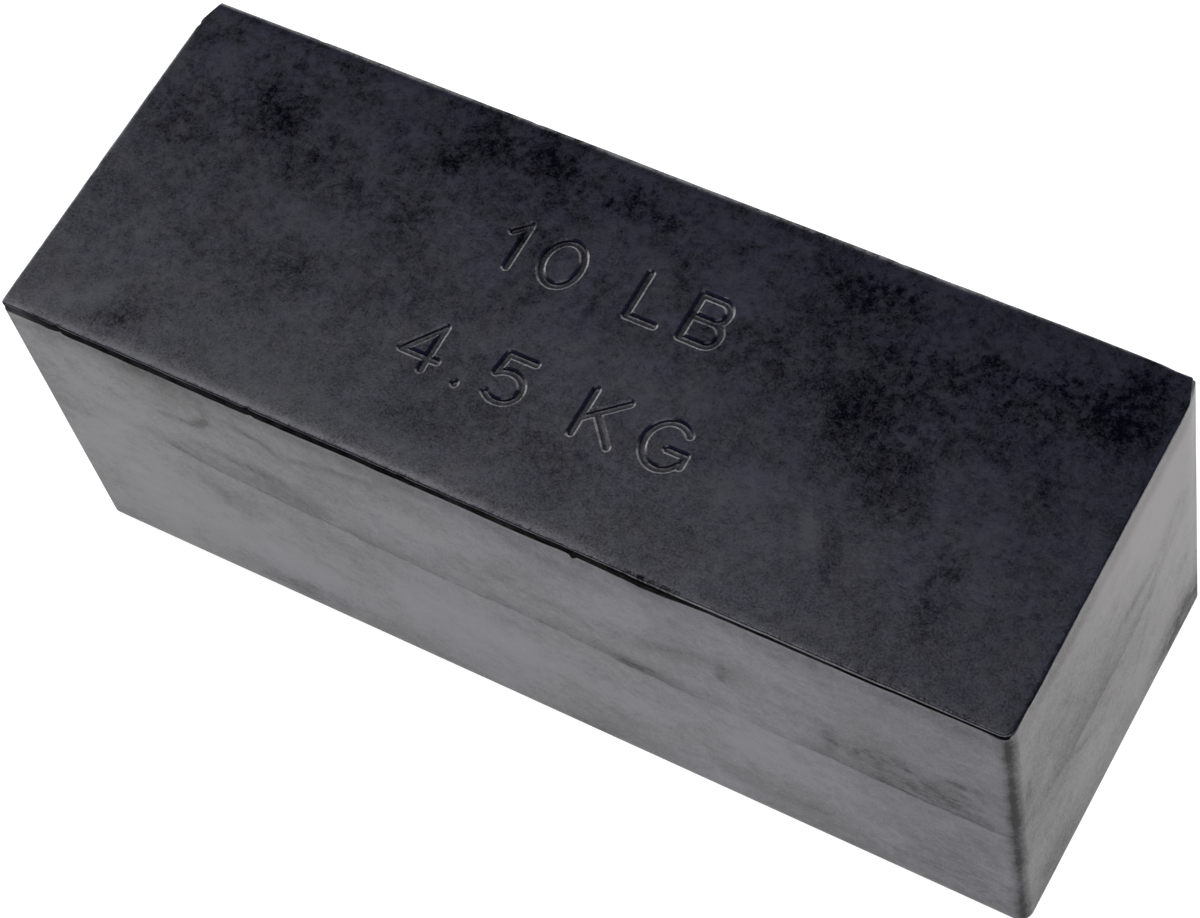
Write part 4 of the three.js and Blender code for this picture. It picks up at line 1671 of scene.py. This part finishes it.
@dataclass
class UpperJacket(Jacket):
    """The lid of the two jackets: the marked top face, the trimmed rim and the knife cut.

    Attributes:
        roll_mm: How far inside the edge the rolled lip has its rings.
        trim_rows: Rings of the cut: how far inside the lip, what share of the way down, how much further.
        foot_rows: Rings of the step under the cut: what share of the lip stands out there, and how far down.
    """

    marks: WeightMarks = field(default_factory=WeightMarks)
    rim_radii: tuple[float, float, float, float] = (2.0 * MM, 0.4 * MM, 0.4 * MM, 0.3 * MM)
    roll_mm: tuple[float, ...] = (4.2, 3.4, 2.7, 2.1, 1.6, 1.2, 0.85, 0.6, 0.4, 0.25, 0.13, 0.04)
    roll_lean: float = 1.2
    corner_drop: float = 0.12 * MM
    corner_reach: float = 0.06 * MM
    trim_rows: tuple[tuple[float, float, float], ...] = (
        (0.0, 0.0, 0.0), (0.04 * MM, 0.0, 0.07 * MM), (0.1 * MM, 0.5, 0.0), (0.07 * MM, 1.0, -0.12 * MM),
        (0.1 * MM, 1.0, 0.0),
    )
    foot_rows: tuple[tuple[float, float], ...] = ((0.35, 0.06 * MM), (0.08, 0.14 * MM), (0.0, 0.3 * MM))
    lip_least: float = 0.04 * MM
    start_least: float = 0.12 * MM
    end_wavers: tuple[Waver, ...] = (Waver(0.16 * MM, 9 * MM, 71), Waver(0.07 * MM, 2.5 * MM, 72))
    start_wavers: tuple[Waver, ...] = (Waver(0.06 * MM, 5 * MM, 73),)
    proud_wavers: tuple[Waver, ...] = (Waver(0.05 * MM, 14 * MM, 74), Waver(0.03 * MM, 3 * MM, 75))
    nick_reach: float = 1.5 * MM
    cut_along_end: float = 5.4 * MM
    cut_along_side: float = 1.6 * MM
    cut_depth: float = 9 * MM
    cut_weld: float = 1e-7
    face_border_mm: float = 0.5
    face_pitch: float = 1.5 * MM
    face_gap: float = 4.2 * MM
    marks_pitch: float = 0.75 * MM
    marks_gaps: tuple[float, float] = (2.1 * MM, 3.8 * MM)

    def drop(self, flat: np.ndarray) -> np.ndarray:
        """Works out how far the top face has rolled down.

        Args:
            flat: Points of the face, seen from above.

        Returns:
            The drop at each.
        """
        half = np.array([self.length, self.width]) / 2
        down = np.zeros(len(flat))
        for side, story in STORIES.items():
            gap = half[1 - side.value % 2] - flat @ OUTWARD[side.value]
            along = half[side.value % 2] + flat @ TRAVEL[side.value]
            where, depth, reach = np.array(story.roll).T
            reach = np.interp(along / MM, where, reach) * MM
            down += np.interp(along / MM, where, depth) * MM * np.exp(-np.maximum(gap, 0) / reach)
        return down

    def rim(self) -> tuple[np.ndarray, np.ndarray, np.ndarray]:
        """Reads the rim's tables and adds the knife's unsteadiness and its slips.

        Returns:
            How far below the top the cut starts and ends, and how far the lip stands out of the walls.
        """
        stations = self.stations
        cuts = {side: story.rim for side, story in STORIES.items()}
        lips = {side: story.proud for side, story in STORIES.items()}
        start, end, proud = stations.read(cuts, 1), stations.read(cuts, 2), stations.read(lips, 1)
        start = start + sum(waver.along(stations) for waver in self.start_wavers)
        end = end + sum(waver.along(stations) for waver in self.end_wavers)
        proud = proud + sum(waver.along(stations) for waver in self.proud_wavers)
        starts = self.outline.side_starts()
        for nick in NICKS:
            gap = np.abs(stations.walk - starts[nick.side.value] - nick.along * MM)
            gap = np.minimum(gap, stations.around - gap) / MM
            here = np.exp(-(gap / nick.half_width) ** 2) * MM
            proud = proud - here * nick.inward
            end = end + here * nick.deeper
            start = start - here * nick.raised
        return np.maximum(start, self.start_least), end, proud

    def lip(self, rim: Outline, proud: np.ndarray) -> tuple[list[np.ndarray], np.ndarray]:
        """Adds the rings of the rolled lip, from the face out to the edge. The first isn't pushed.

        Args:
            rim: The lip's outline.
            proud: How far it stands out of the walls.

        Returns:
            The rings' numbers, and how far below the top the last one lies.
        """
        rings = []
        for number, inset in enumerate(self.roll_mm):
            push = proud * math.exp(-inset * MM / self.nick_reach) * min(number, 1)
            flat = rim.ring(self.stations, push, 0.0, inset * MM)[:, :2]
            lowest = self.drop(flat) + self.corner_drop * math.exp(-inset * MM / self.corner_reach)
            lean = min(1.0, inset / self.roll_lean)
            rings.append(self.ring(push, self.height - lowest, lean, inset * MM, rim))
        return rings, lowest

    def shape(self) -> None:
        """Adds the face, the rolled lip, the trimmed band, the walls and the pocket."""
        start, end, proud = self.rim()
        rim = Outline(self.outline.length, self.outline.width, self.rim_radii)
        lip, lowest = self.lip(rim, proud)
        self.face(lip[0])
        start = np.maximum(start, lowest + self.lip_least)
        trim = []
        for inward, share, further in self.trim_rows:
            down = start + (end - start) * share + further
            trim.append(self.ring(proud - inward, self.height - down, outline=rim))
        self.mesh.join(lip + trim[:1], Zone.PRESSED)
        self.mesh.join(trim, Zone.TRIMMED)
        under = self.corner_spread()
        walls = trim[-1:]
        for share, down in self.foot_rows:
            foot = self.height - end - down
            walls.append(self.ring(under + (proud - under) * share, foot))
        walls += self.walls(foot, self.joint)
        self.mesh.join(walls, Zone.MOULDED)
        self.hollow(walls[-1], self.pocket_high.z, False)

    def face(self, ring: np.ndarray) -> None:
        """Fills the top face with a net that follows the marks and is closer near them."""
        guides, edges = self.marks.guides()
        inset = (self.roll_mm[0] + self.face_border_mm) * MM
        half = np.array([self.length, self.width]) / 2 - self.rim_proud - inset
        wide = hex_points(*half, self.face_pitch)
        wide = wide[self.marks.distance(wide) > self.face_gap]
        close = hex_points(*half, self.marks_pitch)
        gap = self.marks.distance(close)
        close = close[(gap > self.marks_gaps[0]) & (gap < self.marks_gaps[1])]
        self.mesh.cap(ring, np.concatenate([guides, wide, close]), edges, self.height, True, Zone.PRESSED)
        fresh = self.mesh.points[-1]
        fresh[:, 2] -= self.drop(fresh[:, :2])

    def press_marks(self, piece: bpy.types.Object) -> None:
        """Presses the marks into the face."""
        strokes = self.marks.stroke_object(self.height)
        press_tree(self.marks.profile()).apply(piece, {
            "Strokes": strokes, "Face Height": self.height, "Reach": self.marks.reach,
            "Depth": self.marks.groove_depth, "Wander": self.marks.wander,
            "Wander Length": self.marks.wander_length, "Seed": self.marks.seed,
            "Finish": self.finishes[Zone.PRESSED],
        })
        mesh = strokes.data
        bpy.data.objects.remove(strokes)
        bpy.data.meshes.remove(mesh)

    def cut_corner(self, piece: bpy.types.Object) -> None:
        """Slices off the back left corner where the knife ran wide."""
        shape = bmesh.new()
        shape.from_mesh(piece.data)
        corner = Vector((-self.length / 2, self.width / 2, self.height))
        away = Vector((-1 / self.cut_along_side, 1 / self.cut_along_end, 1 / self.cut_depth))
        parts = shape.verts[:] + shape.edges[:] + shape.faces[:]
        start = corner + Vector((self.cut_along_side, 0, 0))
        done = bmesh.ops.bisect_plane(shape, geom=parts, dist=self.cut_weld, plane_no=away.normalized(),
                                      plane_co=start, clear_outer=True)
        border = [part for part in done["geom_cut"] if isinstance(part, bmesh.types.BMEdge)]
        bmesh.ops.contextual_create(shape, geom=border)
        shape.to_mesh(piece.data)
        shape.free()

    def dress(self, piece: bpy.types.Object) -> None:
        """Dresses the skin, presses the marks and cuts the corner."""
        super().dress(piece)
        self.press_marks(piece)
        self.cut_corner(piece)


@dataclass
class LowerJacket(Jacket):
    """The tub of the two jackets, which the brick stands on."""

    base_radius: float = 0.9 * MM
    base_steps: int = 5
    base_lean: float = -0.5
    base_border: float = 1 * MM
    base_pitch: float = 2.0 * MM

    def shape(self) -> None:
        """Adds the walls, the rounded lower edge, the base and the pocket."""
        foot = self.base_radius
        rings = [self.wall(self.joint)]
        rings += self.walls(self.joint, foot)
        for k in range(1, self.base_steps + 1):
            share = k / self.base_steps
            turn = share * math.pi / 2
            height, inset = foot * (1 - math.sin(turn)), foot * (1 - math.cos(turn))
            rings.append(self.ring(self.spread, height, share * self.base_lean, inset))
        self.mesh.join(rings, Zone.MOULDED)
        half = np.array([self.length, self.width]) / 2 - self.rim_proud - foot - self.base_border
        self.mesh.cap(rings[-1], hex_points(*half, self.base_pitch), [], 0.0, False, Zone.MOULDED)
        self.hollow(rings[0], self.pocket_low.z, True)


@dataclass
class SteelCore:
    """The square bar that makes the brick sink."""

    low: Vector
    high: Vector
    finish: bpy.types.Material
    name: str = "steel_core"
    slot: str = "bar_steel"
    edge_radius: float = 1.5 * MM
    edge_steps: int = 6
    rings: int = 120
    pit_depth: float = 0.06 * MM
    pit_size: float = 7 * MM
    pit_seed: float = 13.0
    sharp_angle: float = math.radians(40)

    def build(self) -> bpy.types.Object:
        """Rolls the bar to the CAD solid's size and hands it over.

        Returns:
            The finished piece.
        """
        piece = set_out("core_bar", bpy.data.meshes.new("core_bar"))
        size = self.high - self.low
        bar_tree().apply(piece, {
            "Length": size.x, "Side": size.z, "Edge Radius": self.edge_radius, "Edge Steps": self.edge_steps,
            "Rings": self.rings, "Centre Height": (self.low.z + self.high.z) / 2,
            "Pit Depth": self.pit_depth, "Pit Size": self.pit_size, "Seed": self.pit_seed,
            "Finish": self.finish,
        })
        hand_over(piece, self.name, self.sharp_angle)
        return piece


@dataclass(frozen=True)
class SoftBox:
    """A large soft light: where it hangs, what it points at, its size and its power."""

    name: str
    place: tuple[float, float, float]
    size: tuple[float, float]
    watts: float

    def build(self, target: Vector) -> None:
        """Hangs the light."""
        lamp = bpy.data.lights.new(self.name, "AREA")
        lamp.shape = "RECTANGLE"
        lamp.size, lamp.size_y = self.size
        lamp.energy = self.watts
        made = set_out(self.name, lamp)
        made.location = self.place
        made.rotation_euler = (Vector(self.place) - target).to_track_quat("Z", "Y").to_euler()


@dataclass
class Studio:
    """The floor, the light and the camera at the photograph's angle.

    The tent round the brick is bright at the horizon, over the brick and behind it, and dark between. Its
    spans run along one axis each: right, back or lift.
    """

    target: Vector = field(default_factory=lambda: Vector((-1.262, -2.605, 45.0)) * MM)
    distance: float = 700.03 * MM
    elevation: float = math.radians(59.222)
    azimuth: float = math.radians(43.302)
    roll: float = math.radians(-16.124)
    focal_length: float = 100.3
    sensor_width: float = 36.0
    clip_start: float = 0.01
    floor_size: float = 12.0
    floor_drop: float = 0.04 * MM
    box: SoftBox = SoftBox("overhead_box", (0.5, -0.7, 1.6), (1.3, 1.3), 6)
    horizon_by_lift: Span = Span(0.38, 0.62, 2.4, 0.0, soft=True)
    overhead_by_back: Span = Span(0.45, 0.16, 0.0, 2.9)
    overhead_front: Span = Span(-0.1, 0.08, soft=True)
    overhead_by_right: Span = Span(0.1, -0.34, soft=True)
    overhead_left: Span = Span(-0.35, -0.48, 1.0, 0.72, soft=True)
    behind_by_back: Span = Span(0.53, 0.74, 0.0, 2.4)
    behind_by_lift: Span = Span(0.4, 0.6, soft=True)
    fill: float = 0.04

    def camera(self) -> None:
        """Sets the camera on its stand."""
        level, lift = math.cos(self.elevation), math.sin(self.elevation)
        back = Vector((math.sin(self.azimuth) * level, -math.cos(self.azimuth) * level, lift))
        right = Vector((0, 0, 1)).cross(back).normalized()
        up = back.cross(right)
        turned_right = right * math.cos(self.roll) + up * math.sin(self.roll)
        turned_up = up * math.cos(self.roll) - right * math.sin(self.roll)
        data = bpy.data.cameras.new("camera")
        data.sensor_width = self.sensor_width
        data.lens = self.focal_length
        data.clip_start = self.clip_start
        made = set_out("camera", data)
        made.matrix_world = Matrix.Translation(self.target + back * self.distance) @ Matrix(
            (turned_right, turned_up, back)).transposed().to_4x4()
        bpy.context.scene.camera = made

    def floor(self) -> None:
        """Lays the floor just under the brick's uneven base."""
        half = self.floor_size / 2
        mesh = bpy.data.meshes.new("floor")
        corners = [(-half, -half), (half, -half), (half, half), (-half, half)]
        mesh.from_pydata([(x, y, -self.floor_drop) for x, y in corners], [], [(0, 1, 2, 3)])
        mesh.materials.append(PaleFloor().material())
        set_out("floor", mesh)

    def tent(self) -> None:
        """Surrounds the brick with the tent."""
        world = bpy.data.worlds.new("tent")
        world.use_nodes = True
        world.node_tree.nodes.clear()
        wiring = Wiring(world.node_tree)
        right, back, lift = wiring.axes(wiring.node("ShaderNodeTexCoord").outputs["Generated"])
        span = wiring.span
        deep = wiring.times(span(back, self.overhead_by_back), span(back, self.overhead_front))
        wide = wiring.times(span(right, self.overhead_by_right), span(right, self.overhead_left))
        behind = wiring.times(span(back, self.behind_by_back), span(lift, self.behind_by_lift))
        glow = wiring.total(span(lift, self.horizon_by_lift), behind, wiring.times(deep, wide), self.fill)
        cloth = wiring.node("ShaderNodeBackground", {"Color": gray(1.0), "Strength": glow})
        wiring.node("ShaderNodeOutputWorld", {0: cloth.outputs[0]})
        bpy.context.scene.world = world

    def build(self) -> None:
        """Sets up the whole studio."""
        self.camera()
        self.floor()
        self.tent()
        self.box.build(self.target)
        bpy.context.scene.view_settings.view_transform = "Standard"


def main() -> None:
    """Builds the studio and the brick's three pieces."""
    logging.basicConfig(level=logging.INFO, format="%(message)s")
    Studio().build()
    finishes = {
        Zone.PRESSED: PressedRubber().material(), Zone.MOULDED: MouldedRubber().material(),
        Zone.TRIMMED: TrimmedRubber().material(), Zone.HIDDEN: HiddenRubber().material(),
    }
    _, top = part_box("upper_jacket")
    _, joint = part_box("lower_jacket")
    core_low, core_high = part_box("steel_core")
    clearance = Vector((1, 1, 1)) * CORE_CLEARANCE
    pocket_low, pocket_high = core_low - clearance, core_high + clearance
    # The bar rests on the pocket's floor.
    pocket_low.z = core_low.z
    shared = {
        "finishes": finishes, "skin": skin_tree(), "length": 2 * top.x, "width": 2 * top.y, "height": top.z,
        "joint": joint.z, "pocket_low": pocket_low, "pocket_high": pocket_high,
    }
    core = SteelCore(core_low, core_high, MillScaleSteel().material())
    for part in (core, LowerJacket("lower_jacket", **shared), UpperJacket("upper_jacket", **shared)):
        piece = part.build()
        log.info("%s: %d points, %d faces", piece.name, len(piece.data.vertices), len(piece.data.polygons))


if __name__ == "__main__":
    main()
